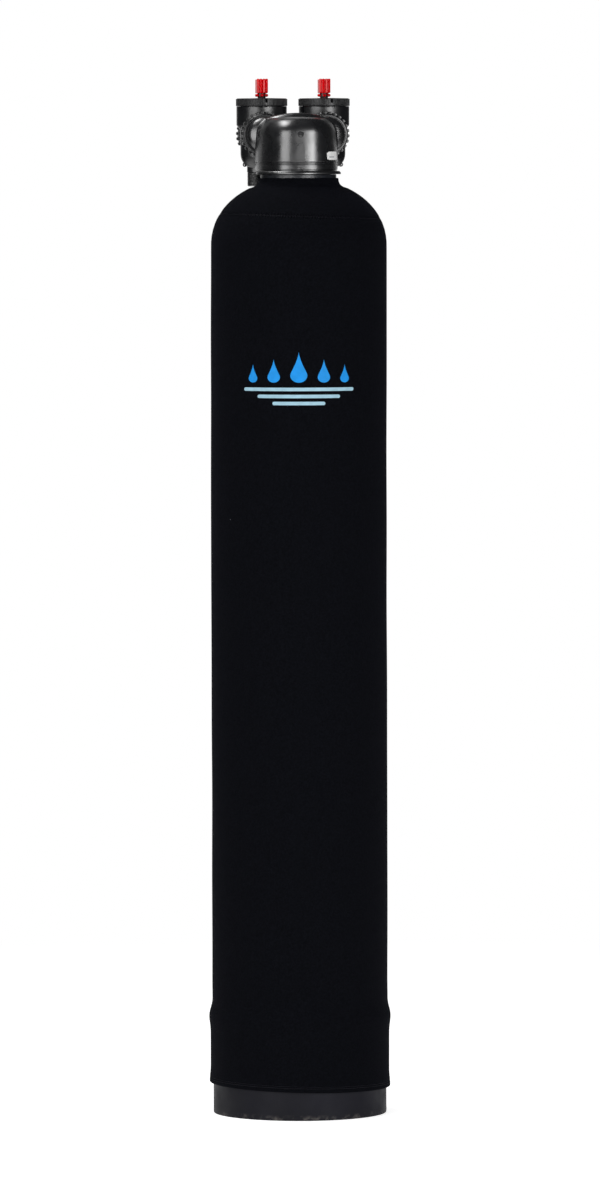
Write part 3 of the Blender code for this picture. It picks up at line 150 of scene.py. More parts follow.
class StageSettings(bpy.types.PropertyGroup):
    """Where the camera stands."""
    distance: length("Distance", "From the camera to the tank's axis", 13.0)
    eye: length("Eye height", "Height of the camera", 1.46)
    aim: length("Aim height", "Height on the axis at the picture's middle", 0.774)
    side: length("Side shift", "How far right of the axis the camera aims", 0.0012)
    framed: length("Framed height", "Height that the picture shows at the axis", 1.808)
    turn: bpy.props.FloatProperty(
        name="Turn", description="Camera's angle round the tank", default=CAMERA_TURN, unit="ROTATION"
    )
    roll: bpy.props.FloatProperty(
        name="Roll", description="Camera's lean to the left", default=math.radians(-0.1), unit="ROTATION"
    )


# Nodes and materials

def linear(hex_colour):
    """The linear colour of an sRGB hex value."""
    shares = [int(hex_colour[place:place + 2], 16) / 255 for place in (1, 3, 5)]
    return (*(s / 12.92 if s <= 0.04045 else ((s + 0.055) / 1.055) ** 2.4 for s in shares), 1.0)


def shaded(colour, share):
    """A colour made darker or lighter by a share."""
    return (*(channel * share for channel in colour[:3]), 1.0)


def wire(tree, node, inputs):
    """A node's inputs, each set to a value, another node's output, or the first output of a node."""
    for name, value in inputs.items():
        if isinstance(value, bpy.types.Node):
            value = value.outputs[0]
        if isinstance(value, bpy.types.NodeSocket):
            tree.links.new(value, node.inputs[name])
        else:
            node.inputs[name].default_value = value


def add(tree, kind, inputs=None, **settings):
    """A new node with its settings and its inputs."""
    made = tree.nodes.new(kind)
    for name, value in settings.items():
        setattr(made, name, value)
    wire(tree, made, inputs or {})
    return made


def surface(name, **shader):
    """A new material with its shader's own values set, and its object coordinates."""
    look = bpy.data.materials.new(name)
    look.use_nodes = True
    tree = look.node_tree
    principled = tree.nodes["Principled BSDF"]
    for socket, value in shader.items():
        principled.inputs[socket.replace("_", " ").title().replace("Ior", "IOR")].default_value = value
    return look, tree, principled, add(tree, "ShaderNodeTexCoord").outputs["Object"]


def mottled(tree, place, scale, low, high, detail=4.0):
    """Noise turned into a colour between two colours."""
    noise = add(tree, "ShaderNodeTexNoise", {"Vector": place, "Scale": scale, "Detail": detail})
    ramp = add(tree, "ShaderNodeValToRGB", {"Fac": noise})
    for element, share, colour in zip(ramp.color_ramp.elements, (0.35, 0.65), (low, high)):
        element.position = share
        element.color = colour
    return ramp


def grained(tree, place, scale, detail, depth, under=None):
    """A noisy relief of a depth in metres, over any relief under it."""
    noise = add(tree, "ShaderNodeTexNoise", {"Vector": place, "Scale": scale, "Detail": detail})
    relief = {"Height": noise, "Distance": depth}
    if under:
        relief["Normal"] = under
    return add(tree, "ShaderNodeBump", relief)


def neoprene_jersey(name, colour, stitch):
    """Foam rubber with a knitted nylon face: deep matte black with a soft edge glow."""
    look, tree, shader, place = surface(
        name, roughness=0.92, specular_ior_level=0.03,
        sheen_weight=0.012, sheen_roughness=0.45, sheen_tint=linear("#8E94C8"),
    )
    base = mottled(tree, place, 380.0, shaded(colour, 0.7), shaded(colour, 1.3), 3.0)
    # Lint: a few pale specks under a millimetre wide, drawn twice as coarse so that they show
    cells = add(tree, "ShaderNodeTexVoronoi", {"Vector": place, "Scale": 46.0})
    speck = add(tree, "ShaderNodeMapRange", {
        "Value": cells, "From Min": 0.028, "From Max": 0.045, "To Min": 1.0, "To Max": 0.0,
    })
    chosen = add(tree, "ShaderNodeSeparateColor", {"Color": cells.outputs["Color"]})
    rare = add(tree, "ShaderNodeMath", {0: chosen, 1: 0.985}, operation="GREATER_THAN")
    lint = add(tree, "ShaderNodeMath", {0: speck, 1: rare}, operation="MULTIPLY")
    mixed = add(tree, "ShaderNodeMix", {"Factor": lint, 6: base, 7: linear("#8C8C92")}, data_type="RGBA")
    # Knit: ribs of the jersey are 0.6 mm apart, drawn at 0.8 mm so that they show
    strands = add(tree, "ShaderNodeUVMap", uv_map="cloth")
    ribs = add(tree, "ShaderNodeTexWave", {
        "Vector": strands, "Scale": TURN / 20 / 0.0008, "Distortion": 1.4, "Detail": 2.0,
    }, bands_direction="X")
    knit = add(tree, "ShaderNodeBump", {"Height": ribs.outputs["Fac"], "Distance": 0.00012})
    nap = grained(tree, place, 900.0, 3.0, 0.0002, knit)
    # Puckers: each stitch of the shoulder seam draws the foam in
    off = add(tree, "ShaderNodeAttribute", attribute_name="seam_off")
    far = add(tree, "ShaderNodeMath", {0: off.outputs["Fac"]}, operation="ABSOLUTE")
    near = add(tree, "ShaderNodeMapRange", {
        "Value": far, "From Min": 0.0022, "From Max": 0.0052, "To Min": 1.0, "To Max": 0.0,
    })
    around = add(tree, "ShaderNodeSeparateXYZ", {"Vector": strands})
    turns = add(tree, "ShaderNodeMath", {0: around, 1: TURN / stitch}, operation="MULTIPLY")
    wave = add(tree, "ShaderNodeMath", {0: turns}, operation="COSINE")
    pull = add(tree, "ShaderNodeMath", {0: wave, 1: near}, operation="MULTIPLY")
    pucker = add(tree, "ShaderNodeBump", {"Height": pull, "Distance": 0.0011, "Normal": nap})
    wire(tree, shader, {"Base Color": mixed.outputs[2], "Normal": pucker})
    return look


def polyester_thread(name, colour):
    """Twisted polyester: a little glossier than the cloth, with its twist as bump."""
    look, tree, shader, place = surface(name, roughness=0.6, specular_ior_level=0.16)
    base = mottled(tree, place, 260.0, shaded(colour, 0.7), shaded(colour, 1.5))
    wire(tree, shader, {"Base Color": base, "Normal": grained(tree, place, 2400.0, 2.0, 0.0001)})
    return look


def screen_ink(name, colour):
    """Plastisol ink on cloth: even colour, satin, with the knit showing through a little."""
    look, tree, shader, place = surface(name, roughness=0.55, specular_ior_level=0.12)
    base = mottled(tree, place, 90.0, shaded(colour, 0.9), shaded(colour, 1.04))
    wire(tree, shader, {"Base Color": base, "Normal": grained(tree, place, 700.0, 3.0, 0.00015)})
    return look


def moulded_plastic(name, colour, roughness, shine, ior=1.5):
    """Glass-filled black plastic: satin, with a spark-eroded grain and faint flow marks."""
    look, tree, shader, place = surface(name, specular_ior_level=shine, ior=ior)
    base = mottled(tree, place, 24.0, shaded(colour, 0.8), shaded(colour, 1.25))
    flow = add(tree, "ShaderNodeTexNoise", {"Vector": place, "Scale": 42.0, "Detail": 5.0, "Distortion": 0.6})
    rough = add(tree, "ShaderNodeMapRange", {
        "Value": flow, "From Min": 0.3, "From Max": 0.7,
        "To Min": roughness - 0.07, "To Max": roughness + 0.08,
    })
    fine = add(tree, "ShaderNodeTexNoise", {"Vector": place, "Scale": 620.0, "Detail": 3.0, "Roughness": 0.6})
    grain = add(tree, "ShaderNodeBump", {"Height": fine, "Distance": 0.0001})
    ripple = grained(tree, place, 55.0, 2.0, 0.0003, grain)
    wire(tree, shader, {"Base Color": base, "Roughness": rough, "Normal": ripple})
    return look


def boot_rubber(name, colour):
    """Moulded rubber: dark grey, scuffed by handling, with pale dust near the floor."""
    look, tree, shader, place = surface(name, specular_ior_level=0.15)
    base = mottled(tree, place, 11.0, shaded(colour, 0.8), shaded(colour, 1.3), 6.0)
    height = add(tree, "ShaderNodeSeparateXYZ", {"Vector": place}).outputs["Z"]
    low = add(tree, "ShaderNodeMapRange", {
        "Value": height, "From Min": 0.0, "From Max": 0.009, "To Min": 0.5, "To Max": 0.0,
    })
    patch = add(tree, "ShaderNodeTexNoise", {"Vector": place, "Scale": 120.0, "Detail": 5.0})
    shows = add(tree, "ShaderNodeMapRange", {"Value": patch, "From Min": 0.47, "From Max": 0.75})
    dusty = add(tree, "ShaderNodeMath", {0: low, 1: shows}, operation="MULTIPLY")
    mixed = add(tree, "ShaderNodeMix", {"Factor": dusty, 6: base, 7: linear("#8B8580")}, data_type="RGBA")
    scuffs = add(tree, "ShaderNodeTexNoise", {"Vector": place, "Scale": 30.0, "Detail": 6.0})
    rough = add(tree, "ShaderNodeMapRange", {
        "Value": scuffs, "From Min": 0.3, "From Max": 0.7, "To Min": 0.45, "To Max": 0.66,
    })
    grain = grained(tree, place, 800.0, 3.0, 0.0001)
    wire(tree, shader, {"Base Color": mixed.outputs[2], "Roughness": rough, "Normal": grain})
    return look


def handle_plastic(name, colour):
    """Moulded acetal: saturated red with a soft gloss and a fine grain."""
    look, tree, shader, place = surface(name, ior=1.48, specular_ior_level=0.24)
    base = mottled(tree, place, 60.0, shaded(colour, 0.9), shaded(colour, 1.06))
    flow = add(tree, "ShaderNodeTexNoise", {"Vector": place, "Scale": 90.0, "Detail": 3.0})
    rough = add(tree, "ShaderNodeMapRange", {
        "Value": flow, "From Min": 0.3, "From Max": 0.7, "To Min": 0.12, "To Max": 0.18,
    })
    grain = grained(tree, place, 1500.0, 2.0, 0.00004)
    wire(tree, shader, {"Base Color": base, "Roughness": rough, "Normal": grain})
    return look


def coated_paper(name):
    """Coated paper: white, with two pale grey bars along it and a soft gloss."""
    look, tree, shader, place = surface(name, roughness=0.45, specular_ior_level=0.4)
    across = add(tree, "ShaderNodeUVMap", uv_map="label")
    split = add(tree, "ShaderNodeSeparateXYZ", {"Vector": across}).outputs
    bars = add(tree, "ShaderNodeMath", {0: split["Y"], 1: 0.36}, operation="PINGPONG")
    line = add(tree, "ShaderNodeMath", {0: bars, 1: 0.30}, operation="GREATER_THAN")
    inside = add(tree, "ShaderNodeMath", {0: split["X"], 1: 0.34, 2: 0.22}, operation="COMPARE")
    both = add(tree, "ShaderNodeMath", {0: line, 1: inside}, operation="MULTIPLY")
    white = mottled(tree, place, 80.0, linear("#E9E9E8"), linear("#F6F6F5"))
    mixed = add(tree, "ShaderNodeMix", {"Factor": both, 6: white, 7: linear("#A2A2A8")}, data_type="RGBA")
    fibres = grained(tree, place, 600.0, 4.0, 0.00004)
    wire(tree, shader, {"Base Color": mixed.outputs[2], "Normal": fibres})
    return look


def wound_fibreglass(name):
    """Glass strands wound in black resin: crossing bands 6 mm wide under a glossy coat."""
    look, tree, shader, place = surface(name, coat_weight=0.3, coat_roughness=0.25)
    bands = []
    for turn in (0.55, -0.55):
        leaned = add(tree, "ShaderNodeMapping", {"Vector": place, "Rotation": (0.0, turn, 0.0)})
        bands.append(add(tree, "ShaderNodeTexWave", {
            "Vector": leaned, "Scale": TURN / 20 / 0.006, "Distortion": 0.8, "Detail": 2.0,
        }, bands_direction="Z").outputs["Fac"])
    crossed = add(tree, "ShaderNodeMath", {0: bands[0], 1: bands[1]}, operation="MAXIMUM")
    strands = add(tree, "ShaderNodeTexNoise", {"Vector": place, "Scale": 300.0, "Detail": 4.0})
    depth = add(tree, "ShaderNodeMath", {0: crossed, 1: strands}, operation="ADD")
    ramp = add(tree, "ShaderNodeValToRGB", {"Fac": crossed})
    for element, colour in zip(ramp.color_ramp.elements, ("#101114", "#1D2026")):
        element.color = linear(colour)
    rough = add(tree, "ShaderNodeMapRange", {"Value": strands, "To Min": 0.3, "To Max": 0.5})
    winding = add(tree, "ShaderNodeBump", {"Height": depth, "Distance": 0.0003})
    wire(tree, shader, {"Base Color": ramp, "Roughness": rough, "Normal": winding})
    return look


def loose_grains(name, low, high, size):
    """Washed grains of one size: each its own colour, with dark gaps between."""
    look, tree, shader, place = surface(name, roughness=0.85, specular_ior_level=0.3)
    grain = add(tree, "ShaderNodeTexVoronoi", {"Vector": place, "Scale": 1 / size})
    shade = add(tree, "ShaderNodeSeparateColor", {"Color": grain.outputs["Color"]})
    ramp = add(tree, "ShaderNodeValToRGB", {"Fac": shade})
    for element, colour in zip(ramp.color_ramp.elements, (low, high)):
        element.color = colour
    dome = add(tree, "ShaderNodeMapRange", {"Value": grain, "To Min": 1.0, "To Max": 0.0})
    relief = add(tree, "ShaderNodeBump", {"Height": dome, "Distance": size / 2})
    wire(tree, shader, {"Base Color": ramp, "Normal": relief})
    return look


def plain_moulding(name, low, high, roughness):
    """An unfilled plastic or rubber: even, with a slight mottle and a fine grain."""
    look, tree, shader, place = surface(name, roughness=roughness, specular_ior_level=0.4)
    base = mottled(tree, place, 40.0, low, high)
    wire(tree, shader, {"Base Color": base, "Normal": grained(tree, place, 900.0, 2.0, 0.00005)})
    return look


def look_named(name):
    """A material of this file, made the first time that it is asked for."""
    found = bpy.data.materials.get(name)
    if found:
        return found
    jacket = bpy.context.scene.filter_jacket
    plastic = bpy.context.scene.filter_plastic
    black = linear(plastic.black)
    recipes = {
        "neoprene_jersey": (neoprene_jersey, linear(jacket.fabric), jacket.zigzag_pitch),
        "polyester_thread": (polyester_thread, linear("#17171D")),
        "ink_blue": (screen_ink, linear(jacket.drop_ink)),
        "ink_pale": (screen_ink, linear(jacket.bar_ink)),
        "head_plastic": (moulded_plastic, black, 0.29, 1.0, 1.68),
        "valve_plastic": (moulded_plastic, black, 0.31, 0.95),
        "cap_plastic": (moulded_plastic, black, 0.36, 0.6),
        "scuffed_rubber": (boot_rubber, linear(plastic.boot)),
        "acetal_red": (handle_plastic, linear(plastic.red)),
        "coated_paper": (coated_paper,),
        "wound_fibreglass": (wound_fibreglass,),
        "river_gravel": (loose_grains, linear("#6B5B49"), linear("#A89B88"), 0.006),
        "carbon_granules": (loose_grains, linear("#0B0B0C"), linear("#242426"), 0.002),
        "pipe_white": (plain_moulding, linear("#DCDCD8"), linear("#E8E8E4"), 0.4),
        "basket_grey": (plain_moulding, linear("#7A7B7D"), linear("#86878A"), 0.5),
        "gate_scar": (plain_moulding, linear("#060607"), linear("#17171A"), 0.55),
        "rotor_black": (plain_moulding, linear("#0D0D10"), linear("#15151A"), 0.4),
        "nitrile_rubber": (plain_moulding, linear("#0E0E0F"), linear("#161617"), 0.62),
    }
    maker, *values = recipes[name]
    return maker(name, *values)


# Meshes

def new_object(name, data):
    """A new object in the scene."""
    made = bpy.data.objects.new(name, data)
    bpy.context.scene.collection.objects.link(made)
    return made


def made_plain(carrier):
    """The mesh that an object's curve or modifiers give; the object is removed."""
    bpy.context.view_layer.update()
    mesh = bpy.data.meshes.new_from_object(carrier.evaluated_get(bpy.context.evaluated_depsgraph_get()))
    bpy.data.objects.remove(carrier)
    return mesh


def joined_shells(shells):
    """Several (points, faces) as one."""
    points = []
    faces = []
    start = 0
    for shell_points, shell_faces in shells:
        points.append(shell_points)
        faces += (np.asarray(shell_faces) + start).tolist()
        start += len(shell_points)
    return np.concatenate(points), faces


def mesh_of(name, points, faces, merge=0.0):
    """A mesh whose faces point outwards, with its coincident points joined."""
    mesh = bpy.data.meshes.new(name)
    mesh.from_pydata(np.asarray(points).tolist(), [], np.asarray(faces).tolist())
    if merge:
        bm = bmesh.new()
        bm.from_mesh(mesh)
        bmesh.ops.remove_doubles(bm, verts=bm.verts, dist=merge)
        if bm.calc_volume(signed=True) < 0:
            bmesh.ops.reverse_faces(bm, faces=bm.faces)
        bm.to_mesh(mesh)
        bm.free()
    mesh.validate()
    return mesh


def piece(name, mesh, look, body=FILTER, stands_for=(), crease=35.0):
    """A finished piece: shaded, in its material, on its body and in place of its solids."""
    mesh.materials.clear()
    mesh.materials.append(look_named(look))
    mesh.shade_smooth()
    mesh.set_sharp_from_angle(angle=math.radians(crease))
    made = new_object(name, mesh)
    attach(made, body)
    if stands_for:
        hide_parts(*stands_for)
    return made


def grid_faces(rows, columns, closed_rows=False, closed_columns=True):
    """Quads of a grid of points given row by row."""
    row = np.arange(rows if closed_rows else rows - 1)
    column = np.arange(columns if closed_columns else columns - 1)
    row, column = (side.ravel() for side in np.meshgrid(row, column, indexing="ij"))
    next_row = (row + 1) % rows
    next_column = (column + 1) % columns
    return np.stack([
        row * columns + column,
        row * columns + next_column,
        next_row * columns + next_column,
        next_row * columns + column,
    ], axis=1)


def turned(profile, segments, shape=None, angles=None):
    """A profile turned about Z: a ring of (radius, height) points, or a line that ends on the axis."""
    line = np.array(profile, float)
    if angles is None:
        angles = np.arange(segments) * TURN / segments
    radius = np.repeat(line[:, :1], len(angles), axis=1)
    height = np.repeat(line[:, 1:2], len(angles), axis=1)
    angle = np.broadcast_to(angles, radius.shape)
    if shape:
        radius, height = shape(radius, height, angle)
    points = np.stack([radius * np.cos(angle), radius * np.sin(angle), height], axis=-1).reshape(-1, 3)
    on_axis = min(line[:, 0]) <= 0.0
    return points, grid_faces(len(line), len(angles), closed_rows=not on_axis)


def rounded(outline, radius, steps=3, closed=True):
    """The outline with its corners rounded, except where it ends on the axis."""
    outline = [Vector(point[:2]) for point in outline]
    rows = []
    for index, corner in enumerate(outline):
        before = outline[index - 1]
        after = outline[(index + 1) % len(outline)]
        ends = not closed and index in (0, len(outline) - 1)
        if ends or corner.x <= 0.0:
            rows.append(corner)
            continue
        back = before - corner
        ahead = after - corner
        reach = min(radius, back.length / 2.2, ahead.length / 2.2)
        start = corner + back.normalized() * reach
        end = corner + ahead.normalized() * reach
        for step in range(steps + 1):
            share = step / steps
            rows.append(start.lerp(corner, share).lerp(corner.lerp(end, share), share))
    return [tuple(row) for row in rows]


def finely(line, spacing):
    """The line with no stretch longer than the spacing."""
    rows = [line[0]]
    for (r0, z0), (r1, z1) in zip(line, line[1:]):
        parts = max(1, math.ceil(math.hypot(r1 - r0, z1 - z0) / spacing))
        for part in range(1, parts + 1):
            rows.append((r0 + (r1 - r0) * part / parts, z0 + (z1 - z0) * part / parts))
    return rows


def laid_along_y(points, side, face_y):
    """Points round Z laid round a port's axis, with their heights toward +Y."""
    x, y, z = np.asarray(points).T
    return np.stack([x + side * PORT_X, z + face_y, PORT_Z - y], axis=1)


def moved(points, x=0.0, y=0.0, z=0.0):
    """Points moved by a distance."""
    return np.asarray(points) + np.array([x, y, z])


def cut_out(outline, bottom, top, rounding):
    """A mesh cut to an outline seen from above, with its upper and lower edges rounded."""
    curve = bpy.data.curves.new("outline", "CURVE")
    curve.dimensions = "2D"
    curve.fill_mode = "BOTH"
    curve.bevel_depth = rounding
    curve.bevel_resolution = 2
    curve.offset = -rounding
    curve.extrude = (top - bottom) / 2 - rounding
    spline = curve.splines.new("POLY")
    spline.points.add(len(outline) - 1)
    for point, (x, y) in zip(spline.points, outline):
        point.co = (x, y, 0.0, 1.0)
    spline.use_cyclic_u = True
    mesh = made_plain(new_object("outline", curve))
    bpy.data.curves.remove(curve)
    bm = bmesh.new()
    bm.from_mesh(mesh)
    bmesh.ops.remove_doubles(bm, verts=bm.verts, dist=0.00001)
    bmesh.ops.recalc_face_normals(bm, faces=bm.faces)
    bmesh.ops.translate(bm, verts=bm.verts, vec=(0.0, 0.0, (top + bottom) / 2))
    bm.to_mesh(mesh)
    bm.free()
    return mesh


def grown(mesh, tree, **values):
    """What a geometry node tree makes of a mesh, as a plain mesh."""
    carrier = new_object("carrier", mesh)
    modifier = carrier.modifiers.new(tree.name, "NODES")
    modifier.node_group = tree
    for item in tree.interface.items_tree:
        if item.item_type == "SOCKET" and item.in_out == "INPUT" and item.name in values:
            modifier[item.identifier] = values[item.name]
    return made_plain(carrier)


# Node trees for what repeats

def new_tree(name, sockets):
    """A geometry node tree with named inputs, and its input and output nodes."""
    tree = bpy.data.node_groups.new(name, "GeometryNodeTree")
    tree.interface.new_socket("Geometry", in_out="INPUT", socket_type="NodeSocketGeometry")
    for socket, kind, default in sockets:
        made = tree.interface.new_socket(socket, in_out="INPUT", socket_type=kind)
        if default is not None:
            made.default_value = default
    tree.interface.new_socket("Geometry", in_out="OUTPUT", socket_type="NodeSocketGeometry")
    return tree, add(tree, "NodeGroupInput").outputs


def end_tree(tree, geometry, look):
    """The tree's end: instances made real and the material set."""
    real = add(tree, "GeometryNodeRealizeInstances", {"Geometry": geometry})
    made = add(tree, "GeometryNodeSetMaterial", {"Geometry": real, "Material": look})
    add(tree, "NodeGroupOutput", {"Geometry": made})
    return tree


def stitch_tree():
    """Thread sewn along a line: it dips at each hole, and swings from side to side in a zigzag."""
    tree, inputs = new_tree("stitches", [
        ("Pitch", "NodeSocketFloat", 0.004),
        ("Half Width", "NodeSocketFloat", 0.003),
        ("Thread", "NodeSocketFloat", 0.0003),
        ("Material", "NodeSocketMaterial", None),
    ])
    quarter = add(tree, "ShaderNodeMath", {0: inputs["Pitch"], 1: 4.0}, operation="DIVIDE")
    line = add(tree, "GeometryNodeMeshToCurve", {"Mesh": inputs["Geometry"]})
    even = add(tree, "GeometryNodeResampleCurve", {"Curve": line, "Length": quarter}, mode="LENGTH")
    place = add(tree, "GeometryNodeInputIndex")
    swing_angle = add(tree, "ShaderNodeMath", {0: place, 1: math.pi / 2}, operation="MULTIPLY")
    swing = add(tree, "ShaderNodeMath", {0: swing_angle}, operation="SINE")
    reach = add(tree, "ShaderNodeMath", {0: swing, 1: inputs["Half Width"]}, operation="MULTIPLY")
    dip_angle = add(tree, "ShaderNodeMath", {0: place, 1: math.pi}, operation="MULTIPLY")
    dip = add(tree, "ShaderNodeMath", {0: dip_angle}, operation="COSINE")
    lift = add(tree, "ShaderNodeMath", {0: dip, 1: inputs["Thread"]}, operation="MULTIPLY")
    across = add(tree, "GeometryNodeInputNamedAttribute", {"Name": "across"}, data_type="FLOAT_VECTOR")
    out = add(tree, "GeometryNodeInputNamedAttribute", {"Name": "out"}, data_type="FLOAT_VECTOR")
    side = add(tree, "ShaderNodeVectorMath", {0: across, "Scale": reach}, operation="SCALE")
    up = add(tree, "ShaderNodeVectorMath", {0: out, "Scale": lift}, operation="SCALE")
    offset = add(tree, "ShaderNodeVectorMath", {0: side, 1: up}, operation="ADD")
    sewn = add(tree, "GeometryNodeSetPosition", {"Geometry": even, "Offset": offset})
    section = add(tree, "GeometryNodeCurvePrimitiveCircle", {"Resolution": 5, "Radius": inputs["Thread"]})
    thread = add(tree, "GeometryNodeCurveToMesh", {
        "Curve": sewn, "Profile Curve": section, "Fill Caps": True,
    })
    return end_tree(tree, thread, inputs["Material"])


def ring_tree():
    """Copies of a bar stood round a ring and joined to the piece that carries them."""
    tree, inputs = new_tree("ring_of_bars", [
        ("Bar", "NodeSocketObject", None),
        ("Count", "NodeSocketInt", 24),
        ("Radius", "NodeSocketFloat", 0.03),
        ("Turn", "NodeSocketFloat", 0.0),
        ("Left Out", "NodeSocketInt", 1000),
        ("Material", "NodeSocketMaterial", None),
    ])
    ring = add(tree, "GeometryNodeMeshCircle", {"Vertices": inputs["Count"], "Radius": inputs["Radius"]})
    place = add(tree, "GeometryNodeInputPosition")
    facing = add(tree, "FunctionNodeAlignRotationToVector", {"Vector": place}, axis="X")
    bar = add(tree, "GeometryNodeObjectInfo", {"Object": inputs["Bar"]}, transform_space="ORIGINAL")
    index = add(tree, "GeometryNodeInputIndex")
    later = add(tree, "ShaderNodeMath", {0: index, 1: 1.0}, operation="ADD")
    within = add(tree, "ShaderNodeMath", {0: later, 1: inputs["Left Out"]}, operation="MODULO")
    kept = add(tree, "ShaderNodeMath", {0: within, 1: 0.5}, operation="GREATER_THAN")
    stood = add(tree, "GeometryNodeInstanceOnPoints", {
        "Points": ring, "Instance": bar.outputs["Geometry"], "Rotation": facing, "Selection": kept,
    })
    spin = add(tree, "ShaderNodeCombineXYZ", {"Z": inputs["Turn"]})
    spun = add(tree, "GeometryNodeTransform", {"Geometry": stood, "Rotation": spin})
    both = add(tree, "GeometryNodeJoinGeometry", {0: spun})
    tree.links.new(inputs["Geometry"], both.inputs[0])
    return end_tree(tree, both, inputs["Material"])


def thread_tree():
    """A screw thread's ridge wound on a round piece, from a height upward."""
    tree, inputs = new_tree("screw_thread", [
        ("Pitch", "NodeSocketFloat", 0.002),
        ("Crest", "NodeSocketFloat", 0.0168),
        ("Start", "NodeSocketFloat", 0.0),
        ("Length", "NodeSocketFloat", 0.02),
        ("Material", "NodeSocketMaterial", None),
    ])
    half = add(tree, "ShaderNodeMath", {0: inputs["Pitch"], 1: 0.52}, operation="MULTIPLY")
    middle = add(tree, "ShaderNodeMath", {0: inputs["Crest"], 1: half}, operation="SUBTRACT")
    turns = add(tree, "ShaderNodeMath", {0: inputs["Length"], 1: inputs["Pitch"]}, operation="DIVIDE")
    winding = add(tree, "GeometryNodeCurveSpiral", {
        "Resolution": 40, "Rotations": turns, "Start Radius": middle, "End Radius": middle,
        "Height": inputs["Length"],
    })
    upright = add(tree, "GeometryNodeSetCurveNormal", {"Curve": winding}, mode="Z_UP")
    section = add(tree, "GeometryNodeCurvePrimitiveCircle", {"Resolution": 4, "Radius": half})
    ridge = add(tree, "GeometryNodeCurveToMesh", {
        "Curve": upright, "Profile Curve": section, "Fill Caps": True,
    })
    start = add(tree, "ShaderNodeCombineXYZ", {"Z": inputs["Start"]})
    placed = add(tree, "GeometryNodeTransform", {"Geometry": ridge, "Translation": start})
    both = add(tree, "GeometryNodeJoinGeometry", {0: placed})
    tree.links.new(inputs["Geometry"], both.inputs[0])
    return end_tree(tree, both, inputs["Material"])


def tree_named(name):
    """A node tree of this file, built the first time that it is asked for."""
    builders = {"stitches": stitch_tree, "ring_of_bars": ring_tree, "screw_thread": thread_tree}
    return bpy.data.node_groups.get(name) or builders[name]()


# Distances: how far each point is from a surface, negative inside

def from_outline(points, outline):
    """Distance from a closed outline in a plane."""
    corners = np.array(outline, float)
    nearest = np.full(len(points), np.inf)
    inside = np.zeros(len(points), bool)
    for start, end in zip(corners, np.roll(corners, -1, axis=0)):
        way = end - start
        off = points - start
        share = np.clip(off @ way / (way @ way), 0.0, 1.0)
        gap = off - share[:, None] * way
        nearest = np.minimum(nearest, np.einsum("ij,ij->i", gap, gap))
        if way[1]:
            crosses = (start[1] > points[:, 1]) != (end[1] > points[:, 1])
            inside ^= crosses & (points[:, 0] < start[0] + off[:, 1] * way[0] / way[1])
    return np.where(inside, -1.0, 1.0) * np.sqrt(nearest)


def from_turned(points, outline, axis, centre):
    """Distance from a (radius, height) outline turned about a line along one axis of the frame."""
    off = points - np.array(centre)
    across = [off[:, other] for other in range(3) if other != axis]
    flat = np.stack([np.hypot(*across), off[:, axis]], axis=1)
    past_axis = [(radius if radius > 0.0 else -1.0, height) for radius, height in outline]
    return from_outline(flat, past_axis)


def round_port(points, outline):
    """Distance from a (radius, y) outline turned about the line of the inlet's ports."""
    return from_turned(points, outline, 1, (PORT_X, 0.0, PORT_Z))


def from_rod(points, start, end, radius):
    """Distance from a round rod with round ends."""
    start = np.array(start)
    way = np.array(end) - start
    off = points - start
    share = np.clip(off @ way / (way @ way), 0.0, 1.0)
    return np.linalg.norm(off - share[:, None] * way, axis=1) - radius


def fused(first, second, blend):
    """Two shapes as one, with a fillet where they meet."""
    share = np.clip(0.5 + 0.5 * (second - first) / blend, 0.0, 1.0)
    return second + share * (first - second) - blend * share * (1.0 - share)


def shared(first, second, blend):
    """What two shapes have in common, with its edges rounded."""
    return -fused(-first, -second, blend)


def sampled(field, low, counts, pitch, stride=4):
    """Distances on a grid, worked out finely only near the surface."""
    coarse_counts = [math.ceil((count - 1) / stride) + 1 for count in counts]
    coarse_axes = [low[a] + pitch * stride * np.arange(coarse_counts[a]) for a in range(3)]
    coarse_points = np.stack(np.meshgrid(*coarse_axes, indexing="ij"), axis=-1).reshape(-1, 3)
    coarse = field(coarse_points).reshape(coarse_counts)
    nearest = [np.rint(np.arange(count) / stride).astype(int) for count in counts]
    values = coarse[np.ix_(*nearest)]
    half_diagonal = 0.87 * stride
    near = np.argwhere(np.abs(values) < (half_diagonal + 1.8) * pitch)
    values[tuple(near.T)] = field(low + near * pitch)
    return values


def cell_number(number, places):
    """The number of the point in each cell, or -1 past the grid's edge."""
    limit = np.array(number.shape)
    within = ((places >= 0) & (places < limit)).all(axis=1)
    found = number[tuple(np.clip(places, 0, limit - 1).T)]
    return np.where(within, found, -1)


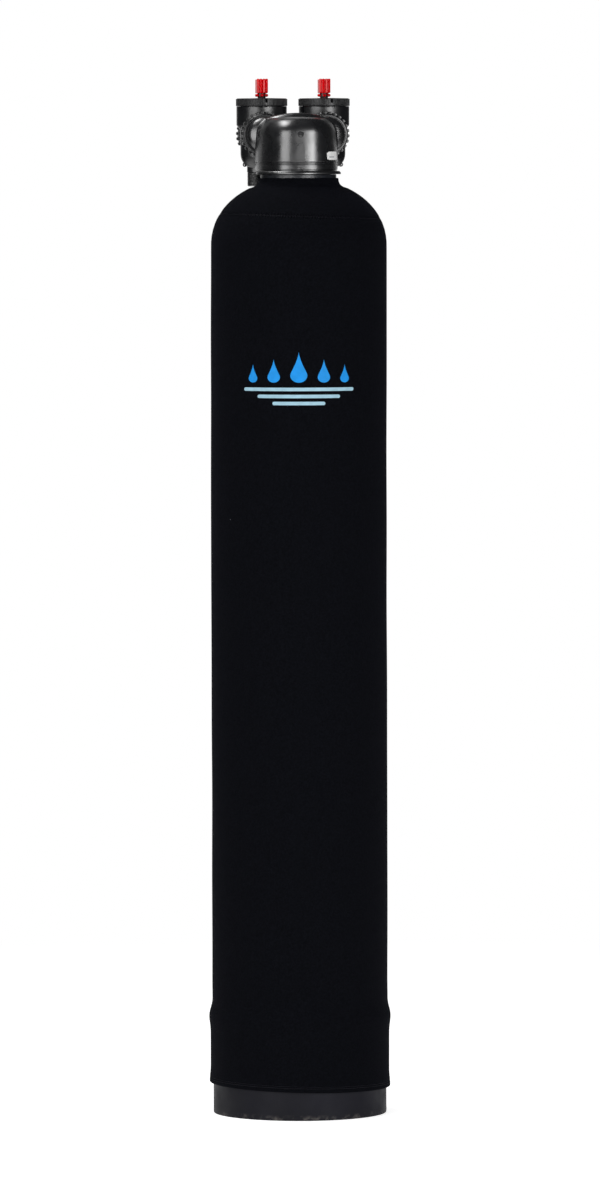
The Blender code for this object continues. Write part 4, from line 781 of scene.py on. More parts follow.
def netted(field, low, high, pitch):
    """Points and quads on the surface where a distance is zero, one point for each cell it crosses."""
    low = np.array(low, float)
    counts = [math.ceil((b - a) / pitch) + 1 for a, b in zip(low, high)]
    values = sampled(field, low, counts, pitch)
    inside = values < 0
    full = sum(
        inside[i:counts[0] - 1 + i, j:counts[1] - 1 + j, k:counts[2] - 1 + k].astype(np.int8)
        for i in (0, 1) for j in (0, 1) for k in (0, 1)
    )
    live = (full > 0) & (full < 8)
    number = np.full(live.shape, -1)
    number[live] = np.arange(live.sum())
    cells = np.argwhere(live)
    total = np.zeros((len(cells), 3))
    hits = np.zeros(len(cells))
    steps = np.eye(3, dtype=int)
    quads = []
    for axis in range(3):
        ahead, second, third = steps[axis], steps[(axis + 1) % 3], steps[(axis + 2) % 3]
        for corner in (0 * ahead, second, third, second + third):
            start = cells + corner
            here = values[tuple(start.T)]
            there = values[tuple((start + ahead).T)]
            crosses = (here < 0) != (there < 0)
            share = np.where(crosses, here / np.where(crosses, here - there, 1.0), 0.0)
            total += np.where(crosses[:, None], start + share[:, None] * ahead, 0.0)
            hits += crosses
        changes = np.argwhere(np.diff(inside.astype(np.int8), axis=axis))
        corners = (0 * ahead, second, second + third, third)
        around = np.stack([cell_number(number, changes - corner) for corner in corners], axis=1)
        leaving = inside[tuple(changes.T)]
        quads.append(np.where(leaving[:, None], around, around[:, ::-1]))
    quads = np.concatenate(quads)
    return low + pitch * total / hits[:, None], quads[(quads >= 0).all(axis=1)]


def settled(points, quads, field, pitch, rounds=2):
    """The points evened out along the surface and set exactly on it."""
    ends = np.concatenate([quads, np.roll(quads, -1, axis=1)], axis=0).reshape(2, -1)
    ends = np.concatenate([ends, ends[::-1]], axis=1)
    count = np.bincount(ends[0], minlength=len(points))
    for _ in range(rounds):
        sums = [
            np.bincount(ends[0], weights=points[ends[1], axis], minlength=len(points)) for axis in range(3)
        ]
        points = (points + np.stack(sums, axis=1) / count[:, None]) / 2
        points = on_surface(points, field, pitch)
    return on_surface(points, field, pitch)


def on_surface(points, field, pitch):
    """The points moved along the distance's slope to where it is zero."""
    reach = pitch / 20
    gap = field(points)
    slope = np.stack([field(points + step) - gap for step in np.eye(3) * reach], axis=1) / reach
    size = np.maximum((slope * slope).sum(axis=1), 0.1)
    return points - (np.clip(gap / size, -pitch / 2, pitch / 2))[:, None] * slope


def moulded(field, low, high, pitch):
    """Points and quads of a moulded shape."""
    points, quads = netted(field, low, high, pitch)
    return settled(points, quads, field, pitch), quads


# Jacket

HEM_ROW_GAP = 0.0026


def dome_radius(height, offset):
    """Radius of the tank's dome at a height above its equator, with the jacket's thickness on it."""
    tall = DOME_HEIGHT + offset
    share = np.clip(height / tall, 0.0, 1.0)
    return (TANK_RADIUS + offset) * (1 - share ** DOME_POWER) ** (1 / DOME_POWER)


def eased(value, start, end):
    """From 0 at start to 1 at end, without a corner."""
    share = np.clip((value - start) / (end - start), 0.0, 1.0)
    return share * share * (3 - 2 * share)


def jacket_line():
    """The jacket's outside from hem to collar as (radius, height) points."""
    wall = TANK_RADIUS + JACKET_OFFSET
    rows = []
    heights = np.concatenate([
        np.arange(JACKET_HEM, 0.062, 0.0012),
        np.arange(0.062, 0.175, 0.003),
        np.arange(0.175, UPPER_EQUATOR, 0.012),
    ])
    for height in heights:
        radius = wall + 0.0026 * (1 - eased(height, 0.150, 0.172))
        radius += 0.0021 * math.exp(-((height - 0.1455) / 0.013) ** 2)
        radius += 0.0015 * (1 - eased(height, JACKET_HEM, JACKET_HEM + 0.024))
        rows.append((radius, height))
    turn = 0.0
    neck = NECK_RADIUS + 0.003
    while True:
        turn += 0.017
        height = (DOME_HEIGHT + JACKET_OFFSET) * math.sin(turn)
        radius = float(dome_radius(height, JACKET_OFFSET))
        if radius < neck + 0.0125:
            break
        rows.append((radius, UPPER_EQUATOR + height))
    # The collar: a curve from the shoulder's end to the neck's opening
    last_radius, last_height = rows[-1]
    for step in range(1, 9):
        share = step / 8
        rest = 1 - share
        first, middle, last = rest * rest, 2 * rest * share, share * share
        radius = first * last_radius + middle * neck + last * neck
        height = first * last_height + middle * (last_height + 0.002) + last * JACKET_TOP
        rows.append((radius, height))
    return np.array(rows)


class JacketSkin:
    """The jacket's outer surface, from the distance along its line and the angle round the tank."""

    def __init__(self, settings):
        self.settings = settings
        self.line = jacket_line()
        steps = np.linalg.norm(np.diff(self.line, axis=0), axis=1)
        self.run = np.concatenate([[0.0], np.cumsum(steps)])
        self.seam_run = self.run_at_height(settings.seam_height)

    def run_at_height(self, height):
        """Distance along the line up to a height."""
        return float(np.interp(height, self.line[:, 1], self.run))

    def seam_at(self, angle):
        """Distance along the line of the shoulder seam, which runs lower on the inlet side."""
        return self.seam_run - 1.25 * self.settings.seam_tilt * np.cos(angle)

    def at(self, run, angle, lift=0.0):
        """Points of the skin, lifted off it by a distance."""
        run, angle = np.broadcast_arrays(np.asarray(run, float), np.asarray(angle, float))
        radius = np.interp(run, self.run, self.line[:, 0])
        height = np.interp(run, self.run, self.line[:, 1])
        ahead, rise = (
            np.interp(run + 0.001, self.run, side) - np.interp(run - 0.001, self.run, side)
            for side in self.line.T
        )
        size = np.hypot(ahead, rise)
        out_r, out_z = rise / size, -ahead / size
        lift = lift + self.relief(run, height, angle)
        hem = -self.settings.hem_tilt * np.cos(angle) * (1 - eased(height, JACKET_HEM + 0.01, 0.14))
        radius = radius + out_r * lift
        height = height + out_z * lift + hem
        return np.stack([radius * np.cos(angle), radius * np.sin(angle), height], axis=-1)

    def normal(self, run, angle):
        """Outward direction at places of the skin."""
        return (self.at(run, angle, 0.001) - self.at(run, angle)) / 0.001

    def relief(self, run, height, angle):
        """Small dents and waves of the cloth, with the grooves that the seams pull in."""
        wave = 0.00022 * np.sin(3 * angle + 5.1 * height + 0.6) + 0.00016 * np.sin(5 * angle - 8.3 * height)
        wave = wave + 0.00012 * np.sin(2 * angle + 23.0 * height)
        wave = wave + 0.00008 * np.sin(9 * angle + 31.0 * height)
        wall = eased(height, 0.17, 0.25) * (1 - eased(height, 1.33, 1.40))
        folds = 0.0004 * np.sin(7 * angle + 1.3) * np.exp(-((height - 0.172) / 0.018) ** 2)
        crease_angle = -TURN / 4 - 0.205
        crease_off = (angle - TURN * np.round((angle - crease_angle) / TURN) - crease_angle) * CLOTH_RADIUS
        crease = -0.0003 * np.exp(-(crease_off / 0.0035) ** 2)
        crease = crease * eased(height, 0.80, 0.86) * (1 - eased(height, 0.93, 1.0))
        seam_off = run - self.seam_at(angle)
        seam = -0.0007 * np.exp(-(seam_off / 0.0012) ** 2) - 0.0003 * np.exp(-(seam_off / 0.005) ** 2)
        hem_off = run - self.settings.hem_height
        hem = -0.0008 * np.exp(-(hem_off / 0.0007) ** 2)
        hem = hem - 0.0005 * np.exp(-((hem_off + HEM_ROW_GAP) / 0.0005) ** 2)
        back_off = (angle - TURN / 4) * CLOTH_RADIUS
        back = -0.0007 * np.exp(-(back_off / 0.0012) ** 2) * (run < self.seam_at(angle))
        return wave * wall + folds + crease + seam + hem + back


def sleeve(skin, settings, segments):
    """Points, faces and cloth coordinates of the closed sleeve."""
    detail = np.concatenate([
        np.arange(0.0, 0.012, 0.0006),
        np.arange(0.012, 0.13, 0.0035),
        np.arange(0.13, skin.seam_run - 0.012, 0.0095),
        np.arange(skin.seam_run - 0.012, skin.seam_run + 0.012, 0.0008),
        np.arange(skin.seam_run + 0.012, skin.run[-1] - 0.002, 0.003),
        [skin.run[-1] - 0.0012, skin.run[-1] - 0.0005, skin.run[-1]],
    ])
    angle = np.arange(segments) * TURN / segments
    run_grid, angle_grid = np.meshgrid(detail, angle, indexing="ij")
    outer = skin.at(run_grid, angle_grid)
    inner_runs = detail[::-1][::3]
    inner_grid, inner_angles = np.meshgrid(inner_runs, angle, indexing="ij")
    inner = skin.at(inner_grid, inner_angles, -settings.thickness)
    outward = skin.normal(run_grid, angle_grid)
    drop = 0.0012
    lower = [
        outer[0] - outward[0] * settings.thickness * share - np.array([0.0, 0.0, drop])
        for share in (0.65, 0.3)
    ]
    upper = [
        outer[-1] - outward[-1] * settings.thickness * share + np.array([0.0, 0.0, drop / 2])
        for share in (0.3, 0.65)
    ]
    rows = np.concatenate([outer, np.stack(upper), inner, np.stack(lower)])
    faces = grid_faces(len(rows), segments, closed_rows=True)
    runs = np.concatenate([detail, [detail[-1]] * len(upper), inner_runs, [0.0] * len(lower)])
    cloth = np.stack([
        np.broadcast_to(angle * CLOTH_RADIUS, (len(rows), segments)),
        np.broadcast_to(runs[:, None], (len(rows), segments)),
    ], axis=-1)
    return rows.reshape(-1, 3), faces, cloth.reshape(-1, 2)


def seam_line(name, skin, runs, angles, lift, closed):
    """A line on the skin that carries its own outward and crosswise directions."""
    points = skin.at(runs, angles, lift)
    out = skin.normal(runs, angles)
    ahead = np.roll(points, -1, axis=0) - np.roll(points, 1, axis=0)
    if not closed:
        ahead[0] = points[1] - points[0]
        ahead[-1] = points[-1] - points[-2]
    across = np.cross(out, ahead)
    across /= np.linalg.norm(across, axis=1)[:, None]
    edges = [(index, index + 1) for index in range(len(points) - 1)]
    if closed:
        edges.append((len(points) - 1, 0))
    mesh = bpy.data.meshes.new(name)
    mesh.from_pydata(points.tolist(), edges, [])
    for attribute, values in (("across", across), ("out", out)):
        made = mesh.attributes.new(attribute, "FLOAT_VECTOR", "POINT")
        made.data.foreach_set("vector", values.astype(np.float32).ravel())
    return mesh


def make_jacket(settings):
    """The sleeve, and the threads of its hem, shoulder seam and back seam."""
    skin = JacketSkin(settings)
    points, faces, cloth = sleeve(skin, settings, 256)
    mesh = mesh_of("jacket_sleeve", points, faces)
    layer = mesh.uv_layers.new(name="cloth")
    corner_points = np.zeros(len(mesh.loops), int)
    mesh.loops.foreach_get("vertex_index", corner_points)
    layer.data.foreach_set("uv", cloth[corner_points].astype(np.float32).ravel())
    seam = mesh.attributes.new("seam_off", "FLOAT", "POINT")
    angles = cloth[:, 0] / CLOTH_RADIUS
    seam.data.foreach_set("value", (cloth[:, 1] - skin.seam_at(angles)).astype(np.float32))
    jacket = piece("jacket_sleeve", mesh, "neoprene_jersey", stands_for=["insulating_jacket"])
    around = np.arange(720) * TURN / 720
    up = np.arange(0.012, skin.seam_at(TURN / 4) - 0.004, 0.004)
    hem = np.full(len(around), settings.hem_height)
    zigzag = (settings.zigzag_pitch, settings.zigzag_width / 2)
    straight = (settings.stitch_pitch, 0.0)
    lines = [
        ("shoulder_zigzag", skin.seam_at(around), around, *zigzag, True),
        ("hem_stitches_high", hem, around, *straight, True),
        ("hem_stitches_low", hem - HEM_ROW_GAP, around, *straight, True),
        ("back_zigzag", up, np.full(len(up), TURN / 4), *zigzag, False),
    ]
    sewn = []
    for name, runs, angles, pitch, half_width, closed in lines:
        line = seam_line(name, skin, runs, angles, settings.thread * 0.3, closed)
        thread = grown(line, tree_named("stitches"), **{
            "Pitch": pitch, "Half Width": half_width, "Thread": settings.thread,
            "Material": look_named("polyester_thread"),
        })
        sewn.append(piece(name, thread, "polyester_thread", crease=60.0))
    return jacket, sewn, skin


def drop_outline(height, count=48):
    """A water drop standing on its round end, as (x, z) points round its belly."""
    belly = height * 0.31
    points = []
    for step in range(count):
        angle = TURN * step / count
        narrow = 1 - 0.5 * (1 + math.sin(angle)) * (0.5 + 0.5 * math.sin(angle)) ** 1.6
        x = belly * math.cos(angle) * narrow
        z = belly * math.sin(angle) + belly
        z += (height - 2 * belly) * max(0.0, math.sin(angle)) ** 2.2
        points.append((x, z))
    return points


def bar_outline(width, height, steps=24):
    """A bar with round ends, as (x, z) points."""
    straight = width / 2 - height / 2
    points = []
    for end in (1, -1):
        for step in range(9):
            angle = math.pi * (step / 8 - 0.5)
            x = straight + math.cos(angle) * height / 2
            points.append((end * x, end * math.sin(angle) * height / 2))
        for step in range(1, steps):
            share = 1 - 2 * step / steps
            points.append((end * straight * share, end * height / 2))
    return points


def printed(skin, outline, centre_x, centre_z, thickness=0.00022, rings=7):
    """An outline printed on the front of the jacket, as a thin closed skin."""
    print_radius = 0.1325
    depth = 0.0002
    edge = np.array(outline) + np.array([centre_x, centre_z])
    core_reach = max(0.0, np.ptp(edge[:, 0]) / 2 - np.ptp(edge[:, 1]) / 2)
    core_x = np.clip(edge[:, 0], centre_x - core_reach, centre_x + core_reach)
    core = np.stack([core_x, np.full(len(edge), edge[:, 1].mean())], axis=1)
    flat = np.stack([core + (edge - core) * (ring / rings) for ring in range(rings + 1)])
    angle = -TURN / 4 + CAMERA_TURN + flat[:, :, 0] / print_radius
    run = np.interp(flat[:, :, 1], skin.line[:, 1], skin.run)
    top = skin.at(run, angle, thickness)
    base = skin.at(run[-1:], angle[-1:], -depth)
    low = skin.at(run[::-1], angle[::-1], -depth)
    points = np.concatenate([top, base, low[1:]]).reshape(-1, 3)
    return points, grid_faces(len(top) + len(base) + len(low) - 1, len(edge))


def make_print(settings, skin):
    """Five water drops over three level bars, printed on the front of the jacket."""
    middle = settings.print_height
    drops = [
        printed(skin, drop_outline(height / 1000), place / 1000, middle - 0.006)
        for place, height in ((-72, 27), (-38, 35), (0, 46), (38, 35), (72, 27))
    ]
    bars = [
        printed(skin, bar_outline(width / 1000, 0.0052), 0.0, middle - 0.016 - row * 0.0105)
        for row, width in enumerate((176, 128, 80))
    ]
    made = []
    for name, shells, ink in (("print_drops", drops, "ink_blue"), ("print_bars", bars, "ink_pale")):
        points, faces = joined_shells(shells)
        made.append(piece(name, mesh_of(name, points, faces, 0.000001), ink, crease=60.0))
    return made


# Boot and tank

def make_boot():
    """The rubber boot, with soft edges and the ring that carries the tank."""
    rim_bead = 0.0011
    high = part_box("tank_base_boot")[1]
    outer = high.x - rim_bead
    inner = TANK_RADIUS + 0.0003
    seat = 0.062
    floor = 0.004
    dome_share = (1 - (seat / TANK_RADIUS) ** DOME_POWER) ** (1 / DOME_POWER)
    dome = LOWER_EQUATOR - DOME_HEIGHT * dome_share - 0.0008
    outline = [
        (0.0, 0.0), (outer - 0.0003, 0.0), (outer, 0.002),
        (outer, BOOT_TOP - 0.010), (outer + rim_bead, BOOT_TOP - 0.008), (outer + rim_bead, BOOT_TOP),
        (inner, BOOT_TOP), (inner, floor), (seat + 0.002, floor),
        (seat + 0.002, dome), (seat - 0.002, dome), (seat - 0.002, floor), (0.0, floor),
    ]
    line = finely(rounded(outline, 0.0022, closed=False), 0.012)
    points, faces = turned(line, 160)
    mesh = mesh_of("boot_cup", points, faces, 0.00001)
    return piece("boot_cup", mesh, "scuffed_rubber", stands_for=["tank_base_boot"])


def dome_rows(offset, inner_radius, steps=22):
    """The tank's dome as (radius, height above its equator), from its equator inward."""
    rows = []
    for step in range(steps + 1):
        turn = math.pi / 2 * step / steps
        radius = (TANK_RADIUS + offset) * max(math.cos(turn), 0.0) ** (2 / DOME_POWER)
        height = (DOME_HEIGHT + offset) * math.sin(turn) ** (2 / DOME_POWER)
        if radius <= inner_radius + 0.0005:
            share = (inner_radius / (TANK_RADIUS + offset)) ** DOME_POWER
            rows.append((inner_radius, (DOME_HEIGHT + offset) * (1 - share) ** (1 / DOME_POWER)))
            break
        rows.append((radius, height))
    return rows


def make_tank():
    """The wound tank with both domes, its neck and the seal's recess."""
    bore = 0.0362
    recess = 0.0417
    outline = [(radius, LOWER_EQUATOR - height) for radius, height in reversed(dome_rows(0.0, 0.0))]
    outline += [(radius, UPPER_EQUATOR + height) for radius, height in dome_rows(0.0, NECK_RADIUS)]
    outline += [
        (NECK_RADIUS, NECK_TOP - 0.0008), (NECK_RADIUS - 0.0008, NECK_TOP), (recess, NECK_TOP),
        (recess, NECK_TOP - 0.0055), (bore, NECK_TOP - 0.0055),
    ]
    outline += [(radius, UPPER_EQUATOR + height) for radius, height in reversed(dome_rows(-0.005, bore))]
    outline += [(radius, LOWER_EQUATOR - height) for radius, height in dome_rows(-0.005, 0.0)]
    points, faces = turned(finely(outline, 0.04), 128)
    mesh = mesh_of("wound_tank", points, faces, 0.00001)
    return piece("wound_tank", mesh, "wound_fibreglass", stands_for=["pressure_tank"])


# Head

HEAD_HALF_WIDTH = 0.0627
HEAD_BACK_DEPTH = 0.0535
HEAD_LONG = 0.1115
HEAD_DRAFT = 0.055
HEAD_FLOOR = NECK_TOP + 0.0185
HEAD_DOME_TOP = NECK_TOP + 0.0862
HEAD_CROWN = 1.45
HEAD_SHOULDER = 0.019
LOBE_RADIUS = 0.0263
LOBE_Y = 0.032
LOBE_FRONT_Y = 0.0360
LOBE_NOSE = 0.012
LOBE_END_Y = 0.054
ARCH_TOP = PORT_Z + LOBE_RADIUS + 0.0065
CHANNEL_INNER = 0.0195
CHANNEL_OUTER = 0.030


def plan_off(x, y, inset):
    """How far outside the head's plan a point is: flattish in front, round beside, widest at the back."""
    least_slope = 4.0
    tiny = 1e-5
    wide, long = HEAD_HALF_WIDTH - inset, HEAD_LONG - inset
    beside = np.abs(x) + tiny
    ahead = np.clip(HEAD_BACK_DEPTH - y, 0.0, None) + tiny
    across, along = (beside / wide) ** 3, (ahead / long) ** 2
    level = across + along
    power = (across / 3 + along / 2) / level
    slope = power * level ** (power - 1) * np.hypot(3 * across / beside, 2 * along / ahead)
    return shared((level ** power - 1) / np.maximum(slope, least_slope), y - HEAD_BACK_DEPTH, 0.003)


def front_dome(points):
    """The front body: walls with draft, a wide round shoulder and a slightly crowned top."""
    x, y, z = points.T
    wall = plan_off(x, y, HEAD_DRAFT * (z - HEAD_FLOOR)) + HEAD_SHOULDER
    crown = z - HEAD_DOME_TOP + HEAD_CROWN * (x * x + np.minimum(y, 0.0) ** 2) + HEAD_SHOULDER
    corner = np.hypot(np.maximum(wall, 0.0), np.maximum(crown, 0.0))
    body = corner + np.minimum(np.maximum(wall, crown), 0.0) - HEAD_SHOULDER
    return shared(body, HEAD_FLOOR - z, 0.0012)


def rear_arch(points):
    """The saddle behind the dome that links the tops of both lobes, highest at its middle."""
    x, y, z = points.T
    share = np.clip(np.abs(x) / PORT_X, 0.0, 1.0)
    top = ARCH_TOP - 0.0085 * share ** 2
    radius = 0.008
    off_y = np.abs(y - LOBE_Y) - (0.019 - 0.005 * share ** 2 - radius)
    off_z = np.abs(z - (top - 0.022)) - (0.022 - radius)
    outside = np.hypot(np.maximum(off_y, 0.0), np.maximum(off_z, 0.0))
    section = outside + np.minimum(np.maximum(off_y, off_z), 0.0) - radius
    return shared(section, np.abs(x) - PORT_X, 0.003) * 0.95


def lobe(points):
    """A round lobe with the plain cylinder of its port; both sides at once."""
    nose_y = LOBE_FRONT_Y + LOBE_NOSE
    turns = [TURN / 40 * step for step in range(11)]
    nose = round_port(points, [
        *((LOBE_RADIUS * math.sin(turn), nose_y - LOBE_NOSE * math.cos(turn)) for turn in turns),
        (LOBE_RADIUS, LOBE_END_Y + 0.02), (0.0, LOBE_END_Y + 0.02),
    ])
    body = shared(nose, points[:, 1] - LOBE_END_Y, 0.0015)
    port = round_port(points, [
        (0.0, LOBE_END_Y - 0.004), (PORT_ROOT, LOBE_END_Y - 0.004),
        (PORT_ROOT, HEAD_FACE_Y), (0.0, HEAD_FACE_Y),
    ])
    return np.minimum(body, port)


def mirrored(points):
    """The points with the outlet side laid on the inlet side."""
    return np.abs(points * [1, 0, 0]) + points * [0, 1, 1]


def head_outside(points):
    """The head's dome, arch and lobes, without its waterways."""
    shell = fused(front_dome(points), rear_arch(points), 0.0016)
    return fused(shell, lobe(mirrored(points)), 0.0018)


def head_field(points):
    """The head above its groove, with its waterways cut."""
    bores = round_port(mirrored(points), [
        (0.0, 0.014), (PORT_BORE, 0.014), (PORT_BORE, HEAD_FACE_Y - SOCKET_DEPTH),
        (SOCKET_RADIUS, HEAD_FACE_Y - SOCKET_DEPTH), (SOCKET_RADIUS, 0.1), (0.0, 0.1),
    ])
    channel = from_turned(points, [
        (CHANNEL_INNER, PLUG_BOTTOM), (CHANNEL_OUTER, PLUG_BOTTOM),
        (CHANNEL_OUTER, PORT_Z - 0.0222), (CHANNEL_INNER, PORT_Z - 0.0222),
    ], 2, (0.0, 0.0, 0.0))
    riser_end = PORT_Z - 0.0177
    riser_top = PORT_Z + 0.0039
    riser = from_turned(points, [
        (0.0, PLUG_BOTTOM), (RISER_RADIUS, PLUG_BOTTOM), (RISER_RADIUS, riser_end),
        (0.0108, riser_end), (0.0108, riser_top), (0.0, riser_top),
    ], 2, (0.0, 0.0, 0.0))
    way_radius = 0.0078
    inlet_way = from_rod(points, (0.0, 0.0, PORT_Z - 0.0039), (PORT_X, 0.025, PORT_Z), way_radius)
    outlet_way = from_rod(points, (-0.02475, 0.0, PORT_Z - 0.0261), (-PORT_X, 0.025, PORT_Z), way_radius)
    ways = np.minimum(np.minimum(bores, channel), np.minimum(riser, np.minimum(inlet_way, outlet_way)))
    return shared(head_outside(points), -ways, 0.0006)


def in_plan(radius, height, angle):
    """Turned rings wider than the plug take the head's plan; the flange and the plug stay round."""
    reach = np.full(radius.shape, HEAD_HALF_WIDTH)
    for _ in range(20):
        reach = reach - 0.9 * plan_off(reach * np.cos(angle), reach * np.sin(angle), 0.0)
    wide = eased(radius, 0.040, 0.050)
    round_part = (height < NECK_TOP + 0.0053) | (radius < 0.040)
    return np.where(round_part, radius, radius + wide * (reach - HEAD_HALF_WIDTH)), height


def head_base_shells():
    """Band, groove, flange and plug of the head, with the ring channel open between two turned walls."""
    floor = NECK_TOP + 0.0003
    plug = 0.0357
    band = HEAD_HALF_WIDTH - 0.0006
    groove = band - 0.0015
    joint = HEAD_FLOOR + 0.0016
    flange = 0.0638
    outer = [
        (CHANNEL_OUTER, PLUG_BOTTOM), (plug - 0.0008, PLUG_BOTTOM), (plug, PLUG_BOTTOM + 0.0012),
        (plug, floor),
        (flange - 0.0004, floor), (flange, floor + 0.0004), (flange, floor + 0.0018),
        (flange - 0.0004, floor + 0.0030), (flange - 0.0014, floor + 0.0042),
        (flange - 0.0032, floor + 0.0050),
        (groove, floor + 0.0053), (groove, floor + 0.0063),
        (band, floor + 0.0068), (band, HEAD_FLOOR - 0.0042),
        (groove, HEAD_FLOOR - 0.0039), (groove, HEAD_FLOOR - 0.0030), (band - 0.0003, HEAD_FLOOR - 0.0026),
        (band - 0.0003, HEAD_FLOOR - 0.0014), (groove, HEAD_FLOOR - 0.0010), (groove, joint),
        (CHANNEL_OUTER, joint),
    ]
    inner = [
        (RISER_RADIUS, PLUG_BOTTOM), (CHANNEL_INNER, PLUG_BOTTOM),
        (CHANNEL_INNER, joint), (RISER_RADIUS, joint),
    ]
    return [turned(rounded(outer, 0.0003, 2), 224, in_plan), turned(inner, 64)]


def on_head(point, direction, lift):
    """The point moved along a direction until it lies a distance off the head."""
    for _ in range(60):
        gap = float(head_outside(point[None])[0]) - lift
        point = point - direction * gap
        if abs(gap) < 0.00001:
            break
    return point


def make_head(settings):
    """The in/out head: moulded dome and lobes on a turned band, flange and plug."""
    pitch = settings.grid
    low = (-0.080, -0.068, HEAD_FLOOR - 0.004)
    high = (0.080, HEAD_FACE_Y + 0.004, ARCH_TOP + 0.004)
    top = moulded(head_field, low, high, pitch)
    points, faces = joined_shells([top, *head_base_shells()])
    mesh = mesh_of("head_moulding", points, faces, 0.000002)
    look = look_named("head_plastic")
    for side in STREAMS.values():
        mesh = with_port_thread(mesh, side, LOBE_END_Y + 0.0035, HEAD_FACE_Y - 0.0015, look)
    return piece(
        "head_moulding", mesh, "head_plastic", stands_for=["in_out_head"], crease=40.0
    )


def make_gate_mark():
    """The scar of the injection gate on the head's front: a shallow dish with a broken stub."""
    outline = [
        (0.0, -0.0004), (0.0046, -0.0004), (0.0046, 0.0004), (0.0041, 0.0007), (0.0034, 0.0001),
        (0.0018, 0.0001), (0.0014, 0.0012), (0.0, 0.0009),
    ]

    def uneven(radius, height, angle):
        """Rings that aren't quite round."""
        return radius * (1 + 0.05 * np.sin(3 * angle) + 0.04 * np.sin(5 * angle)), height

    points, faces = turned(outline, 36, uneven)
    right = np.array([math.cos(CAMERA_TURN), math.sin(CAMERA_TURN), 0.0])
    back = np.array([math.sin(CAMERA_TURN), -math.cos(CAMERA_TURN), 0.0])
    spot = on_head(right * 0.0036 + back * 0.12 + np.array([0.0, 0.0, PORT_Z + 0.0004]), back, 0.0)
    turn = Vector((spot[0], spot[1], 0.0)).normalized().to_track_quat("Z", "Y").to_matrix()
    points = np.asarray(points) @ np.array(turn).T + np.array(spot)
    mesh = mesh_of("gate_mark", points, faces, 0.000002)
    return piece("gate_mark", mesh, "gate_scar")


def with_port_thread(mesh, side, start_y, end_y, look):
    """The mesh with a coarse thread wound on one of its ports."""
    empty = bpy.data.meshes.new("thread")
    wound = grown(empty, tree_named("screw_thread"), **{
        "Pitch": 0.0032, "Crest": THREAD_RADIUS, "Start": start_y, "Length": end_y - start_y,
        "Material": look,
    })
    points = np.array([vertex.co for vertex in wound.vertices])
    faces = [list(face.vertices) for face in wound.polygons]
    placed = laid_along_y(points, side, 0.0)
    bm = bmesh.new()
    bm.from_mesh(mesh)
    corners = [bm.verts.new(point) for point in placed]
    for face in faces:
        bm.faces.new([corners[index] for index in face])
    bm.to_mesh(mesh)
    bm.free()
    return mesh


def make_label():
    """A small blank paper label on the head's side."""
    columns = 22
    rows = 11
    start, end = math.radians(48.5), math.radians(97.0)
    low_z, high_z = HEAD_FLOOR + 0.0030, HEAD_FLOOR + 0.0158
    points = []
    coordinates = []
    for row in range(rows + 1):
        for column in range(columns + 1):
            across, up = column / columns, row / rows
            angle = start + (end - start) * across
            height = low_z + (high_z - low_z) * up
            points.append(label_point(angle, height, across, up))
            coordinates.append((across, up))
    faces = grid_faces(rows + 1, columns + 1, closed_columns=False)
    mesh = mesh_of("paper_label", points, faces)
    layer = mesh.uv_layers.new(name="label")
    for loop in mesh.loops:
        layer.data[loop.index].uv = coordinates[loop.vertex_index]
    made = piece("paper_label", mesh, "coated_paper", crease=60.0)
    solid = made.modifiers.new("Thickness", "SOLIDIFY")
    solid.thickness = 0.00015
    solid.offset = -1.0
    return made


def label_point(angle, height, across, up):
    """A point of the label: on the head's side, with its corner drawn in to a round."""
    corner = 0.0016
    side_radius = 0.06
    drawn_in = (abs(across - 0.5) * 2) ** 8 * (abs(up - 0.5) * 2) ** 8
    angle -= math.copysign(1, across - 0.5) * drawn_in * corner / side_radius
    height -= math.copysign(1, up - 0.5) * drawn_in * corner
    direction = np.array([math.sin(angle + CAMERA_TURN), -math.cos(angle + CAMERA_TURN), 0.0])
    return on_head(direction * 0.09 + np.array([0.0, 0.0, height]), direction, 0.0002)


# Bypass valve

CHAMBER_TOP = PORT_Z + 0.0430
CHAMBER_LEDGE = PORT_Z + 0.0173
BOWL_BOTTOM = PORT_Z - 0.0498


def spigot_line(face):
    """A spigot's outside past its O-ring groove to the nut's seat, as (radius, distance) points."""
    return [(radius, face + place) for radius, place in (
        (SPIGOT_TIP, -0.0142), (SPIGOT_RADIUS, -0.0132), (SPIGOT_RADIUS, -0.01055), (SPIGOT_GROOVE, -0.01055),
        (SPIGOT_GROOVE, -0.00645), (SPIGOT_RADIUS, -0.00645), (SPIGOT_RADIUS, 0.0), (SPIGOT_NECK, 0.0),
        (SPIGOT_NECK, NUT_SEAT), (SPIGOT_RADIUS, NUT_SEAT),
    )]


